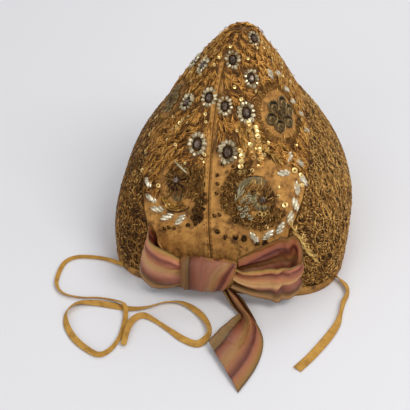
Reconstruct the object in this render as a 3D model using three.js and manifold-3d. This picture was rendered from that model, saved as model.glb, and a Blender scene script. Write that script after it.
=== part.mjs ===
// Embroidered bonnet with a peaked crown, a ribbon bow at the nape and two tape ties.
// It stands on its own rim. Millimetres and degrees, +Z up, +Y towards the face side, +X to the right
// as seen from behind. The origin is the foot of the nape, in the middle of the rim's flat underside.
import * as THREE from "three";
import { mergeVertices } from "three/addons/utils/BufferGeometryUtils.js";
import Module from "manifold-3d";

const wasm = await Module();
wasm.setup();

// Driving dimensions
const CLOTH_THICK = 2.0; // quilted silk wall of the crown and the wings
const CASING_THICK = 3.0; // rolled hem round the rim
const RIBBON_THICK = 1.0;
const TAPE_THICK = 0.9;
const GAP = 0.35; // clearance between neighbouring pieces
const SEAM_GAP = 0.3; // between the two halves of the crown, and of the wings at the front
const NAPE_HEM = 10; // height of the casing at the nape
const SIDE_HEM = 5; // height of the casing under the wings
const HEM_TURN = { from: 24, to: 48 }; // angles between which the casing narrows
const EDGE_ROLL = 1.4; // how far the crown's lower edge is drawn in at the wing seam
const WING_SINK = 1.6; // how far the wing's upper edge lies under the crown
const WING_PUFF = 3.6; // how far the wing swells out between its seams
const GATHER = { depth: 1.1, count: 11, span: 30, height: 46 }; // drawn folds over the nape
const WING_START = 31.5; // angle where each wing begins, at the nape corner
// How the wing's puff grows from the nape corner, fades to the front and tucks under the crown
const WING_SWELL = { full: 75, easeFrom: 120, ease: 0.4, round: 0.9, tuck: 0.55 };
const CROWN_EDGE = 0.14; // share of the crown's height over which its rolled edge fades
const CROWN_SPACING = 1.05; // draws the crown's rows a little closer towards the rim
const MERGE = 1e-4; // corners nearer than this are one
const PEAK_AT = 0.995; // above this place the surface faces straight up
const SURFACE_STEP = { angle: 0.5, at: 0.004 }; // steps for reading the surface's slope

// Level sections of the cap, from the rim to the peak. Each is a rounded outline: halfWidth at the
// sides, back and front are where it crosses the middle, centre is where it is widest, square is how
// square its back corners are, seam is how far the centre seam runs to the side of the middle, and
// lean is how far both sides sag the same way.
const SECTIONS = [
  { at: 0.0, height: 0, halfWidth: 87, centre: 84, back: 0, front: 194, square: 4.2, seam: 0, lean: 0 },
  { at: 0.14, height: 22, halfWidth: 86.5, centre: 84, back: 3, front: 192, square: 4.2, seam: -7, lean: 0 },
  { at: 0.28, height: 45, halfWidth: 80, centre: 85, back: 10, front: 187, square: 4.0, seam: -10.5, lean: -1.5 },
  { at: 0.42, height: 66, halfWidth: 70, centre: 88, back: 20, front: 179, square: 3.4, seam: -12.5, lean: -3.5 },
  { at: 0.56, height: 88, halfWidth: 57, centre: 93, back: 34, front: 169, square: 2.9, seam: -13.5, lean: -5 },
  { at: 0.7, height: 112, halfWidth: 42.5, centre: 98, back: 52, front: 154, square: 2.5, seam: -14, lean: -5 },
  { at: 0.82, height: 134, halfWidth: 29, centre: 102, back: 70, front: 138, square: 2.2, seam: -12.5, lean: -3.5 },
  { at: 0.92, height: 152, halfWidth: 17.5, centre: 104, back: 86, front: 123, square: 2.0, seam: -9, lean: -1.5 },
  { at: 0.975, height: 162.5, halfWidth: 9, centre: 105, back: 95.5, front: 115, square: 2, seam: -3.5, lean: -0.5 },
  { at: 1.0, height: 166, halfWidth: 0, centre: 105, back: 105, front: 105, square: 2.0, seam: 0, lean: 0 },
];
const FRONT_SQUARE = 2.3;

// Height of the seam between crown and wing, by the angle from the nape
const WING_SEAM = [
  { angle: 30.5, height: 21 },
  { angle: 35, height: 40 },
  { angle: 38, height: 50 },
  { angle: 45, height: 61 },
  { angle: 53, height: 70 },
  { angle: 62, height: 77 },
  { angle: 76, height: 82 },
  { angle: 105, height: 92 },
  { angle: 140, height: 103 },
  { angle: 180, height: 108 },
];
const CROWN_ANGLES = [
  0, 5, 10, 15, 20, 25, 29.5, 30.5, 35, 38, 45, 53, 62, 76, 90, 105, 122, 140, 160, 180,
];
const WING_ANGLES = [WING_START, 35, 38, 45, 53, 62, 70, 79, 90, 102, 115, 128, 141, 154, 167, 180];
const CROWN_ROWS = 12;
const WING_ROWS = 6;
const CASING_COLUMNS = 56;

// Outline of the rolled hem, from its outer foot round to its inner foot: depth inwards in hem
// thicknesses, share of its height
const CASING_ROLL = [
  { depth: -0.35, share: 0 },
  { depth: -0.5, share: 0.45 },
  { depth: -0.3, share: 1 },
  { depth: 0.5, share: 1 },
  { depth: 0.5, share: 0 },
];

// Raised motifs draped on the crown: reach is the radius, rise the height, petals the lobes
const MOTIFS = [
  { name: "rosette_right", angle: 29, height: 72.5, reach: 19, rise: 3.2, petals: 8 },
  { name: "rosette_left", angle: -22, height: 72.5, reach: 16, rise: 3.2, petals: 8 },
  { name: "medallion_right", angle: 58, height: 113, reach: 14.5, rise: 2.6, petals: 5 },
  { name: "medallion_left", angle: -78, height: 108, reach: 13, rise: 2.6, petals: 5 },
];
const MOTIF = { rings: 3, sides: 20, lobeDepth: 0.14, rim: 0.45 };

// Paste-stone flowers: reach is the radius of the whole flower, stones the number in its ring
const STRASS = [
  { angle: 12, height: 98, reach: 7.2, stones: 9 },
  { angle: -12, height: 101, reach: 7.0, stones: 9 },
  { angle: 9, height: 124.2, reach: 5.7, stones: 8 },
  { angle: -10, height: 128.2, reach: 5.9, stones: 8 },
  { angle: 27, height: 120, reach: 6.6, stones: 8 },
  { angle: -43, height: 120, reach: 5.8, stones: 8 },
  { angle: 13, height: 150, reach: 5.6, stones: 8 },
  { angle: -60, height: 139.5, reach: 5.6, stones: 8 },
  { angle: 36, height: 138.5, reach: 5.8, stones: 8 },
  { angle: 60, height: 160.5, reach: 4.6, stones: 8 },
  { angle: -98, height: 131, reach: 5.6, stones: 8 },
];
const STONE = { sides: 8, rise: 1.7, tableShare: 0.52, between: 0.12 };
const SETTING = { sides: 12, thick: 0.8, sink: 0.3 };
const CENTRE_STONE = { share: 0.4, rise: 2.1 };
const FLOWER_STRETCH = 1.3;

// Pointed oval stones: turn is the tilt of the long axis from level, on the surface
const NAVETTE = { length: 9, width: 4, thick: 0.7, rise: 1.9, tableShare: 0.5, sides: 8 };
const NAVETTES = {
  garland_left: [
    { angle: -44, height: 69.5, turn: 142 },
    { angle: -37.5, height: 62.5, turn: 148 },
    { angle: -31.5, height: 57.6, turn: 162 },
    { angle: -25, height: 54, turn: 184 },
    { angle: -17, height: 53.4, turn: 206 },
  ],
  garland_right: [
    { angle: 23, height: 45.5, turn: 104 },
    { angle: 29, height: 47.5, turn: 20 },
    { angle: 34.6, height: 52, turn: 32 },
    { angle: 39.8, height: 57.6, turn: 44 },
    { angle: 44.2, height: 64.6, turn: 64 },
    { angle: 48, height: 72.6, turn: 40 },
    { angle: 54, height: 74.6, turn: 66 },
    { angle: 56.5, height: 84, turn: 84 },
    { angle: 50, height: 89, turn: 20 },
    { angle: 43.5, height: 83, turn: 140 },
  ],
  spray: [
    { angle: 66, height: 136, turn: 60 },
    { angle: 88, height: 131, turn: 110 },
    { angle: 88, height: 119, turn: 110 },
    { angle: 90, height: 109, turn: 112 },
    { angle: 91, height: 99, turn: 116 },
    { angle: 86, height: 89, turn: 112 },
  ],
};

// The bow's ribbon: each row is one line across it, from its lower edge (low) to its upper edge (high)
const LOOP_LEFT = [
  { low: [-26.6, -11, 9], high: [-26.6, -9.5, 36] },
  { low: [-36, -13, 7], high: [-36, -12.5, 42] },
  { low: [-47, -11, 6.5], high: [-47, -11, 46.5] },
  { low: [-55, -6, 8], high: [-57, -5, 49] },
  { low: [-58, -0.5, 11], high: [-61, 4, 51] },
  { low: [-54, 2, 13], high: [-56.5, 12, 50.5] },
  { low: [-44, 0, 12.5], high: [-45, 8.5, 47] },
  { low: [-34, -3, 11.5], high: [-35, 3, 42] },
  { low: [-26.6, -5.5, 10.5], high: [-26.6, -3.5, 37] },
];
const LOOP_RIGHT = [
  { low: [13.6, -11, 9.5], high: [13.6, -9.5, 33] },
  { low: [24, -13, 7], high: [24, -13, 35] },
  { low: [38, -12, 6.5], high: [38, -12.5, 36] },
  { low: [51, -8, 7], high: [51, -8.5, 38.5] },
  { low: [59, -1, 9.5], high: [60, 1, 43] },
  { low: [56, 2, 13], high: [57, 11.5, 49] },
  { low: [44, 0, 15], high: [45, 8.5, 47] },
  { low: [28, -3, 13.5], high: [29, 3, 41.5] },
  { low: [13.6, -5.5, 11.5], high: [13.6, -3.5, 36] },
];
const TAIL = [
  { low: [2.5, -9, 8.8], high: [9.5, -8, 11] },
  { low: [6, -13, 5.5], high: [13, -10, 8.5] },
  { low: [10.5, -18, 2.2], high: [18.5, -14, 5.5] },
  { low: [15, -23.5, 1.2], high: [24.5, -22, 3] },
  { low: [17, -29.5, 2], high: [31, -32, 1.2] },
  { low: [12.5, -38.5, 4.5], high: [37.5, -45, 0.8] },
  { low: [7.5, -47.5, 5.5], high: [39, -62, 0.8] },
  { low: [3.5, -54.5, 5], high: [35.5, -82, 0.8] },
  { low: [0, -61, 4], high: [27.5, -104, 0.8] },
];
const LOOP_STEPS = { along: 26, across: 3, swell: 0 };
const TAIL_STEPS = { along: 20, across: 4, swell: 1.2 };

// The knot: upright oval sections set side by side along the bow
const KNOT = [
  { x: -26, y: -8.6, z: 22.5, deep: 3.6, tall: 13.5 },
  { x: -24, y: -9.4, z: 22.5, deep: 6.2, tall: 15.2 },
  { x: -16, y: -9.8, z: 23, deep: 7.0, tall: 15.0 },
  { x: -7, y: -9.8, z: 23, deep: 6.8, tall: 14.4 },
  { x: 2, y: -9.6, z: 23.5, deep: 6.6, tall: 13.2 },
  { x: 9, y: -9, z: 24, deep: 5.8, tall: 11.6 },
  { x: 13, y: -8.4, z: 24, deep: 3.4, tall: 9.6 },
];
const KNOT_SIDES = 16;
const KNOT_SQUARE = 2.6;

// The ties: width and tilt are the tape's own (0 lies flat, 90 stands on edge), lift is the height of
// its lower edge above the table
const TIE_LEFT = [
  { x: -76.8, y: 13.4, width: 5, tilt: 80, lift: 1.5 },
  { x: -90, y: 19.8, width: 3.8, tilt: 50, lift: 0.1 },
  { x: -102, y: 20.9, width: 3.6, tilt: 45, lift: 0.1 },
  { x: -114, y: 19.2, width: 3.6, tilt: 45, lift: 0.1 },
  { x: -121.5, y: 12.5, width: 4.2, tilt: 40, lift: 0.1 },
  { x: -123.8, y: 0, width: 4.6, tilt: 30, lift: 0.1 },
  { x: -122.5, y: -14, width: 4.2, tilt: 35, lift: 0.1 },
  { x: -115, y: -23, width: 4, tilt: 40, lift: 0.1 },
  { x: -102, y: -25.2, width: 4, tilt: 40, lift: 0.1 },
  { x: -88, y: -23.6, width: 3.6, tilt: 45, lift: 0.1 },
  { x: -76, y: -25, width: 3.8, tilt: 35, lift: 0.5 },
  { x: -67.4, y: -30.6, width: 4.6, tilt: 20, lift: 2.6 },
  { x: -64.6, y: -40, width: 5.2, tilt: 15, lift: 0.7 },
  { x: -64, y: -52, width: 5, tilt: 25, lift: 0.1 },
  { x: -64.8, y: -64, width: 4.4, tilt: 45, lift: 0.1 },
  { x: -68.5, y: -76.5, width: 5, tilt: 55, lift: 0.1 },
  { x: -75.5, y: -83.2, width: 5.6, tilt: 55, lift: 0.1 },
  { x: -86, y: -78.2, width: 6.4, tilt: 35, lift: 0.1 },
  { x: -97.5, y: -68, width: 7.2, tilt: 20, lift: 0.1 },
  { x: -105.8, y: -55, width: 6.6, tilt: 35, lift: 0.1 },
  { x: -108, y: -42.5, width: 6, tilt: 60, lift: 0.1 },
  { x: -102, y: -32, width: 8, tilt: 25, lift: 0.1 },
  { x: -90, y: -29, width: 8.8, tilt: 5, lift: 0.1 },
  { x: -77, y: -29.6, width: 8.8, tilt: 0, lift: 0.1 },
  { x: -63, y: -31.2, width: 7, tilt: 5, lift: 0.1 },
  { x: -50.5, y: -28.4, width: 6, tilt: 30, lift: 0.1 },
  { x: -38.5, y: -21.4, width: 5.4, tilt: 45, lift: 0.1 },
  { x: -26, y: -19.8, width: 7, tilt: 25, lift: 0.1 },
  { x: -13.5, y: -27, width: 8.6, tilt: 10, lift: 0.1 },
  { x: -4, y: -39.5, width: 7.6, tilt: 30, lift: 0.1 },
  { x: -1.4, y: -51.5, width: 6.6, tilt: 60, lift: 0.1 },
  { x: -7.5, y: -60.8, width: 8, tilt: 20, lift: 0.1 },
  { x: -19, y: -57.6, width: 7.4, tilt: 15, lift: 0.1 },
  { x: -31, y: -49.8, width: 5, tilt: 45, lift: 0.1 },
  { x: -43, y: -41.6, width: 4.6, tilt: 50, lift: 0.1 },
  { x: -52.5, y: -37.4, width: 7.4, tilt: 15, lift: 0.1 },
  { x: -58.4, y: -43.5, width: 7.6, tilt: 5, lift: 1.2 },
  { x: -60.2, y: -56, width: 6.6, tilt: 8, lift: 2.6 },
  { x: -60.4, y: -70.5, width: 6, tilt: 5, lift: 1.4 },
];
const TIE_RIGHT = [
  { x: 83.5, y: 25.7, width: 7, tilt: 75, lift: 0.8 },
  { x: 88.5, y: 22, width: 8.2, tilt: 40, lift: 0.3 },
  { x: 92.5, y: 16.5, width: 7.6, tilt: 40, lift: 0.1 },
  { x: 94, y: 8, width: 6, tilt: 60, lift: 0.1 },
  { x: 91.8, y: -2.5, width: 6.4, tilt: 50, lift: 0.1 },
  { x: 91, y: -13, width: 5.6, tilt: 55, lift: 0.1 },
  { x: 89.6, y: -25, width: 7.4, tilt: 30, lift: 0.1 },
  { x: 85, y: -37.5, width: 9.2, tilt: 8, lift: 0.1 },
  { x: 79.5, y: -50, width: 9.4, tilt: 12, lift: 0.1 },
  { x: 73, y: -62.5, width: 9.6, tilt: 5, lift: 0.1 },
  { x: 65.5, y: -75, width: 9.8, tilt: 4, lift: 0.1 },
];
const TIE_STEP = 7;

// Colours and finishes
const FINISH = {
  goldWork: { color: 0x8a6428, roughness: 0.45, metalness: 0.55 },
  silk: { color: 0xb98537, roughness: 0.6, metalness: 0.0 },
  purl: { color: 0x5a4224, roughness: 0.4, metalness: 0.6 },
  strass: { color: 0xd8d6c4, roughness: 0.08, metalness: 0.1 },
  ribbon: { color: 0xa8705c, roughness: 0.5, metalness: 0.0 },
  tape: { color: 0xc08f33, roughness: 0.65, metalness: 0.0 },
};
const materials = Object.fromEntries(
  Object.entries(FINISH).map(([name, look]) => [name, new THREE.MeshStandardMaterial({ name, ...look })]),
);

const radians = THREE.MathUtils.degToRad;
const { lerp, smoothstep } = THREE.MathUtils;

/** Value of one column of a table at a place between its rows, on a smooth curve through them. */
function readTable(table, placeKey, place, valueKey) {
  const last = table.length - 1;
  let i = 0;
  while (i < last - 1 && table[i + 1][placeKey] < place) i++;
  const between = (a, b, key) => table[b][key] - table[a][key];
  const slope = (a, b) => between(a, b, valueKey) / between(a, b, placeKey);
  const span = table[i + 1][placeKey] - table[i][placeKey];
  const s = THREE.MathUtils.clamp((place - table[i][placeKey]) / span, 0, 1);
  const slopeIn = i === 0 ? slope(0, 1) : slope(i - 1, i + 1);
  const slopeOut = i === last - 1 ? slope(last - 1, last) : slope(i, i + 2);
  const bend = s * s * (3 - 2 * s);
  return (
    lerp(table[i][valueKey], table[i + 1][valueKey], bend) +
    span * (s * (1 - s) ** 2 * slopeIn - s * s * (1 - s) * slopeOut)
  );
}

/** Value of one column on straight lines between the rows. */
function readStraight(table, placeKey, place, valueKey) {
  const above = table.findIndex((row) => row[placeKey] >= place);
  if (above === 0) return table[0][valueKey];
  if (above < 0) return table.at(-1)[valueKey];
  const [a, b] = [table[above - 1], table[above]];
  return lerp(a[valueKey], b[valueKey], (place - a[placeKey]) / (b[placeKey] - a[placeKey]));
}

const HALVINGS = 40;

/** Place along the sections, 0 at the rim and 1 at the peak, of a height above the rim. */
function placeAtHeight(height) {
  let [low, high] = [0, 1];
  for (let halving = 0; halving < HALVINGS; halving++) {
    const middle = (low + high) / 2;
    if (readTable(SECTIONS, "at", middle, "height") < height) low = middle;
    else high = middle;
  }
  return (low + high) / 2;
}

/** Point of the cap's outer surface at an angle from the nape, positive to the right, and a place. */
function capPoint(angle, at) {
  const row = (column) => readTable(SECTIONS, "at", at, column);
  const [s, c] = [Math.sin(radians(angle)), Math.cos(radians(angle))];
  const centre = row("centre");
  const halfWidth = row("halfWidth");
  if (at >= 1 || halfWidth <= 0) return new THREE.Vector3(0, centre, row("height"));
  const reach = c > 0 ? centre - row("back") : row("front") - centre;
  const square = c > 0 ? row("square") : FRONT_SQUARE;
  const radius = (Math.abs(s / halfWidth) ** square + Math.abs(c / reach) ** square) ** (-1 / square);
  const x = radius * s;
  const drift = row("seam") * (1 - (x / halfWidth) ** 2) * Math.max(c, 0);
  const lean = row("lean") * (x / halfWidth) ** 2;
  return new THREE.Vector3(x + drift + lean, centre - radius * c, row("height"));
}

/** Outward direction of the cap's surface. */
function capNormal(angle, at) {
  if (at >= PEAK_AT) return new THREE.Vector3(0, 0, 1);
  const step = SURFACE_STEP;
  const round = capPoint(angle + step.angle, at).sub(capPoint(angle - step.angle, at));
  const rise = capPoint(angle, at + step.at).sub(capPoint(angle, Math.max(at - step.at, 0)));
  return round.cross(rise).normalize();
}

/** Height of the casing: taller at the nape, where the drawstring runs. */
function hemHeight(angle) {
  return lerp(NAPE_HEM, SIDE_HEM, smoothstep(Math.abs(angle), HEM_TURN.from, HEM_TURN.to));
}

/** Height of the crown's lower edge: the casing at the nape, the wing seam elsewhere. */
function crownFoot(angle) {
  const turn = Math.abs(angle);
  if (turn < WING_SEAM[0].angle) return hemHeight(turn) + GAP;
  return readStraight(WING_SEAM, "angle", turn, "height");
}

/** Collects the corners and triangles of one closed solid and faces them outwards. */
class Facets {
  corners = [];
  triangles = [];

  add(point) {
    this.corners.push(point.x, point.y, point.z);
    return this.corners.length / 3 - 1;
  }

  quad(a, b, c, d) {
    this.triangles.push(a, b, c, a, c, d);
  }

  geometry() {
    const raw = new THREE.BufferGeometry();
    raw.setAttribute("position", new THREE.Float32BufferAttribute(this.corners, 3));
    raw.setIndex(this.triangles);
    return closedGeometry(raw);
  }
}

/** Merges a geometry's shared corners, drops empty triangles and turns its faces outwards. */
function closedGeometry(source) {
  const bare = new THREE.BufferGeometry();
  bare.setAttribute("position", source.getAttribute("position"));
  bare.setIndex(source.index);
  const merged = mergeVertices(bare, MERGE);
  const kept = [];
  const [a, b, c] = [new THREE.Vector3(), new THREE.Vector3(), new THREE.Vector3()];
  const position = merged.getAttribute("position");
  let volume = 0;
  for (let i = 0; i < merged.index.count; i += 3) {
    const [p, q, r] = [0, 1, 2].map((k) => merged.index.getX(i + k));
    if (p === q || q === r || r === p) continue;
    kept.push([p, q, r]);
    a.fromBufferAttribute(position, p);
    b.fromBufferAttribute(position, q);
    c.fromBufferAttribute(position, r);
    volume += a.dot(b.cross(c));
  }
  const out = volume < 0 ? kept.map(([p, q, r]) => [p, r, q]) : kept;
  merged.setIndex(out.flat());
  return merged;
}

/** Closed wall between an outer and an inner grid of points, both [column][row]. */
function wallBetween(outer, inner) {
  const facets = new Facets();
  const number = (grid) => grid.map((column) => column.map((point) => facets.add(point)));
  const [o, i] = [number(outer), number(inner)];
  const [columns, rows] = [o.length - 1, o[0].length - 1];
  for (let u = 0; u < columns; u++) {
    for (let v = 0; v < rows; v++) {
      facets.quad(o[u][v], o[u + 1][v], o[u + 1][v + 1], o[u][v + 1]);
      facets.quad(i[u][v], i[u][v + 1], i[u + 1][v + 1], i[u + 1][v]);
    }
    facets.quad(o[u][0], i[u][0], i[u + 1][0], o[u + 1][0]);
    facets.quad(o[u][rows], o[u + 1][rows], i[u + 1][rows], i[u][rows]);
  }
  for (let v = 0; v < rows; v++) {
    facets.quad(o[0][v], o[0][v + 1], i[0][v + 1], i[0][v]);
    facets.quad(o[columns][v], i[columns][v], i[columns][v + 1], o[columns][v + 1]);
  }
  return facets.geometry();
}

/** Wall of cloth on the cap: place(angle, share) is a row's place, offset how far it stands out. */
function clothWall(side, angles, rows, place, offset) {
  const shift = new THREE.Vector3((side * SEAM_GAP) / 2, 0, 0);
  const layer = (depth) =>
    angles.map((angle) =>
      Array.from({ length: rows + 1 }, (_, row) => {
        const at = place(angle, row / rows);
        const stand = offset(angle, row / rows) - depth;
        const point = capPoint(side * angle, at);
        return point.addScaledVector(capNormal(side * angle, at), stand).add(shift);
      }),
    );
  return wallBetween(layer(0), layer(CLOTH_THICK));
}

function crownHalf(side) {
  const place = (angle, share) => lerp(placeAtHeight(crownFoot(angle)), 1, share ** CROWN_SPACING);
  const offset = (angle, share) => {
    const atNape = angle < WING_SEAM[0].angle;
    const roll = atNape ? 0 : EDGE_ROLL * (1 - smoothstep(share, 0, CROWN_EDGE));
    const height = readTable(SECTIONS, "at", place(angle, share), "height");
    const drawn = 1 - smoothstep(height, NAPE_HEM, GATHER.height);
    const folds = Math.sin((angle / GATHER.span) * GATHER.count * Math.PI) ** 2;
    return -roll - (angle < GATHER.span ? GATHER.depth * drawn * folds : 0);
  };
  return clothWall(side, CROWN_ANGLES, CROWN_ROWS, place, offset);
}

function wingHalf(side) {
  const place = (angle, share) => {
    const foot = placeAtHeight(hemHeight(angle) + GAP);
    const head = placeAtHeight(readStraight(WING_SEAM, "angle", angle, "height") - 2 * GAP);
    return lerp(foot, head, share);
  };
  const offset = (angle, share) => {
    const { full, easeFrom, ease, round, tuck } = WING_SWELL;
    const open = smoothstep(angle, WING_START, full) * (1 - ease * smoothstep(angle, easeFrom, 180));
    const puff = WING_PUFF * open * Math.sin(Math.PI * share) ** round;
    return puff - WING_SINK * smoothstep(share, tuck, 1);
  };
  return clothWall(side, WING_ANGLES, WING_ROWS, place, offset);
}

/** Rolled hem round the whole rim, flat underneath, open in the middle. */
function casing() {
  const facets = new Facets();
  const rings = [];
  for (let column = 0; column < CASING_COLUMNS; column++) {
    const angle = (column / CASING_COLUMNS) * 360 - 180;
    const outward = capNormal(angle, 0).setZ(0).normalize();
    const ring = CASING_ROLL.map(({ depth, share }) => {
      const point = capPoint(angle, 0).addScaledVector(outward, -depth * CASING_THICK);
      return facets.add(point.setZ(share * hemHeight(angle)));
    });
    rings.push(ring);
  }
  rings.forEach((ring, column) => {
    const next = rings[(column + 1) % CASING_COLUMNS];
    ring.forEach((_, k) => {
      const l = (k + 1) % ring.length;
      facets.quad(ring[k], next[k], next[l], ring[l]);
    });
  });
  return facets.geometry();
}

/** Frame on the crown's surface: a group at the point, its Z outwards and its X level to the right. */
function seatOn(angle, height, clearance) {
  const at = placeAtHeight(height);
  const outward = capNormal(angle, at);
  const level = new THREE.Vector3(0, 0, 1).cross(outward).normalize();
  const upward = outward.clone().cross(level);
  const seat = new THREE.Group();
  seat.position.copy(capPoint(angle, at)).addScaledVector(outward, clearance);
  seat.quaternion.setFromRotationMatrix(new THREE.Matrix4().makeBasis(level, upward, outward));
  return seat;
}

/** Angle and place of the cap's surface nearest to a point, found step by step. */
function nearestPlace(point) {
  let at = placeAtHeight(point.z);
  const centre = readTable(SECTIONS, "at", at, "centre");
  let angle = THREE.MathUtils.radToDeg(Math.atan2(point.x, centre - point.y));
  const [stepAngle, stepAt, haste, rounds] = [0.5, 0.005, 0.7, 30];
  for (let i = 0; i < rounds; i++) {
    const here = capPoint(angle, at);
    const miss = point.clone().sub(here);
    const round = capPoint(angle + stepAngle, at).sub(here).divideScalar(stepAngle);
    const up = capPoint(angle, at + stepAt).sub(here).divideScalar(stepAt);
    angle += (haste * miss.dot(round)) / round.lengthSq();
    at += (haste * miss.dot(up)) / up.lengthSq();
  }
  return { angle, at };
}

/** Padded flower that follows the crown's curve, with lobed petals and a domed top. */
function motif({ angle, height, reach, rise, petals }) {
  const seat = seatOn(angle, height, 0);
  seat.updateMatrix();
  const drape = (x, y, lift) => {
    const near = nearestPlace(new THREE.Vector3(x, y, 0).applyMatrix4(seat.matrix));
    const out = capNormal(near.angle, near.at);
    return capPoint(near.angle, near.at).addScaledVector(out, GAP + lift);
  };
  const layer = (lift) =>
    Array.from({ length: MOTIF.sides + 1 }, (_, side) =>
      Array.from({ length: MOTIF.rings + 1 }, (_, ring) => {
        const turn = ((side % MOTIF.sides) / MOTIF.sides) * 2 * Math.PI;
        const lobe = 1 - MOTIF.lobeDepth * (0.5 - 0.5 * Math.cos(petals * turn));
        const share = ring / MOTIF.rings;
        const radius = reach * lobe * share;
        return drape(radius * Math.cos(turn), radius * Math.sin(turn), lift(share));
      }),
    );
  const dome = (share) => rise * Math.sqrt(1 - share * share * (1 - MOTIF.rim ** 2));
  return roundPatch(layer(dome), layer(() => 0));
}

/** Closed solid between two polar grids of points, [side][ring], whose first ring is one point. */
function roundPatch(top, foot) {
  const facets = new Facets();
  const number = (grid) => grid.map((column) => column.map((point) => facets.add(point)));
  const [t, f] = [number(top), number(foot)];
  const rings = t[0].length - 1;
  for (let u = 0; u < t.length - 1; u++) {
    for (let v = 0; v < rings; v++) {
      facets.quad(t[u][v], t[u][v + 1], t[u + 1][v + 1], t[u + 1][v]);
      facets.quad(f[u][v], f[u + 1][v], f[u + 1][v + 1], f[u][v + 1]);
    }
    facets.quad(t[u][rings], f[u][rings], f[u + 1][rings], t[u + 1][rings]);
  }
  return facets.geometry();
}

/** Joins closed geometries that overlap into one closed geometry. */
function fuse(geometries) {
  const solids = geometries.map((geometry) => {
    const closed = closedGeometry(geometry);
    const vertProperties = closed.getAttribute("position").array;
    const triVerts = new Uint32Array(closed.index.array);
    return new wasm.Manifold(new wasm.Mesh({ numProp: 3, vertProperties, triVerts }));
  });
  const mesh = solids.reduce((whole, solid) => whole.add(solid)).getMesh();
  const fused = new THREE.BufferGeometry();
  fused.setAttribute("position", new THREE.BufferAttribute(mesh.vertProperties, 3));
  fused.setIndex(new THREE.BufferAttribute(mesh.triVerts, 1));
  return fused;
}

/** Cut stone standing on Z = 0: a ring of sloping facets under a flat table. */
function cutStone(radius, rise, sides) {
  const stone = new THREE.CylinderGeometry(radius * STONE.tableShare, radius, rise, sides);
  return stone.rotateX(Math.PI / 2).translate(0, 0, rise / 2);
}

/** Paste-stone flower: a ring of cut stones and a centre stone on one setting, drawn out to an oval. */
function strassFlower({ reach, stones }) {
  const half = Math.sin(Math.PI / stones);
  const stoneRadius = (reach * half) / (1 + half) - STONE.between;
  const setting = new THREE.CylinderGeometry(reach, reach, SETTING.thick, SETTING.sides);
  setting.rotateX(Math.PI / 2).translate(0, 0, SETTING.thick / 2);
  const seat = SETTING.thick - SETTING.sink;
  const parts = [setting];
  for (let i = 0; i < stones; i++) {
    const turn = (i / stones) * 2 * Math.PI;
    const ring = reach - stoneRadius - STONE.between;
    const stone = cutStone(stoneRadius, STONE.rise, STONE.sides);
    parts.push(stone.translate(ring * Math.cos(turn), ring * Math.sin(turn), seat));
  }
  parts.push(cutStone(reach * CENTRE_STONE.share, CENTRE_STONE.rise, STONE.sides).translate(0, 0, seat));
  return fuse(parts).scale(1, FLOWER_STRETCH, 1);
}

/** Pointed oval stone: a low girdle, sloping facets and a long table. */
function navetteStone() {
  const { length, width, thick, rise, tableShare, sides } = NAVETTE;
  const profile = [
    [0, 0],
    [0.5, 0],
    [0.5, thick],
    [0.5 * tableShare, rise],
    [0, rise],
  ].map(([radius, height]) => new THREE.Vector2(radius, height));
  const stone = new THREE.LatheGeometry(profile, sides);
  stone.rotateX(Math.PI / 2).scale(length, width, 1);
  return closedGeometry(stone);
}

/** Points of a ribbon at a smooth place along its rows and a share of the way across. */
function ribbonPoint(rows, along, across) {
  const last = rows.length - 1;
  const edge = (key) => {
    const at = (i) => new THREE.Vector3(...rows[THREE.MathUtils.clamp(i, 0, last)][key]);
    const i = Math.min(Math.floor(along * last), last - 1);
    const curve = new THREE.CatmullRomCurve3([at(i - 1), at(i), at(i + 1), at(i + 2)], false, "catmullrom");
    const begin = i === 0 ? new THREE.CatmullRomCurve3([at(0), at(1), at(2)]) : null;
    const end = i === last - 1 ? new THREE.CatmullRomCurve3([at(last - 2), at(last - 1), at(last)]) : null;
    const s = along * last - i;
    if (begin) return begin.getPoint(s / 2);
    if (end) return end.getPoint(0.5 + s / 2);
    return curve.getPoint((1 + s) / 3);
  };
  return edge("low").lerp(edge("high"), across);
}

/** Thin closed ribbon through its rows, with a slight swell across its width. */
function ribbon(rows, thick, { along, across, swell }) {
  const middle = [];
  for (let u = 0; u <= along; u++) {
    const column = [];
    for (let v = 0; v <= across; v++) column.push(ribbonPoint(rows, u / along, v / across));
    middle.push(column);
  }
  const step = (grid, u, v, du, dv) => {
    const clampTo = (value, most) => THREE.MathUtils.clamp(value, 0, most);
    const ahead = grid[clampTo(u + du, along)][clampTo(v + dv, across)];
    const behind = grid[clampTo(u - du, along)][clampTo(v - dv, across)];
    return ahead.clone().sub(behind);
  };
  const layer = (depth) =>
    middle.map((column, u) =>
      column.map((point, v) => {
        const out = step(middle, u, v, 1, 0).cross(step(middle, u, v, 0, 1)).normalize();
        const bulge = swell * Math.sin((Math.PI * v) / across);
        return point.clone().addScaledVector(out, depth + bulge);
      }),
    );
  return wallBetween(layer(thick / 2), layer(-thick / 2));
}

/** Rows of a tape along its route on the table, turned by its tilt. */
function tapeRows(route) {
  return route.map(({ x, y, width, tilt, lift }, i) => {
    const [before, after] = [route[Math.max(i - 1, 0)], route[Math.min(i + 1, route.length - 1)]];
    const heading = new THREE.Vector2(after.x - before.x, after.y - before.y).normalize();
    const flat = (width / 2) * Math.cos(radians(tilt));
    const stand = (width / 2) * Math.sin(radians(tilt));
    const height = lift + stand + TAPE_THICK / 2;
    return {
      low: [x - heading.y * flat, y + heading.x * flat, height - stand],
      high: [x + heading.y * flat, y - heading.x * flat, height + stand],
    };
  });
}

function tie(route) {
  const points = route.map(({ x, y }) => new THREE.Vector3(x, y, 0));
  const length = new THREE.CatmullRomCurve3(points).getLength();
  return ribbon(tapeRows(route), TAPE_THICK, { along: Math.round(length / TIE_STEP), across: 1, swell: 0 });
}

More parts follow.
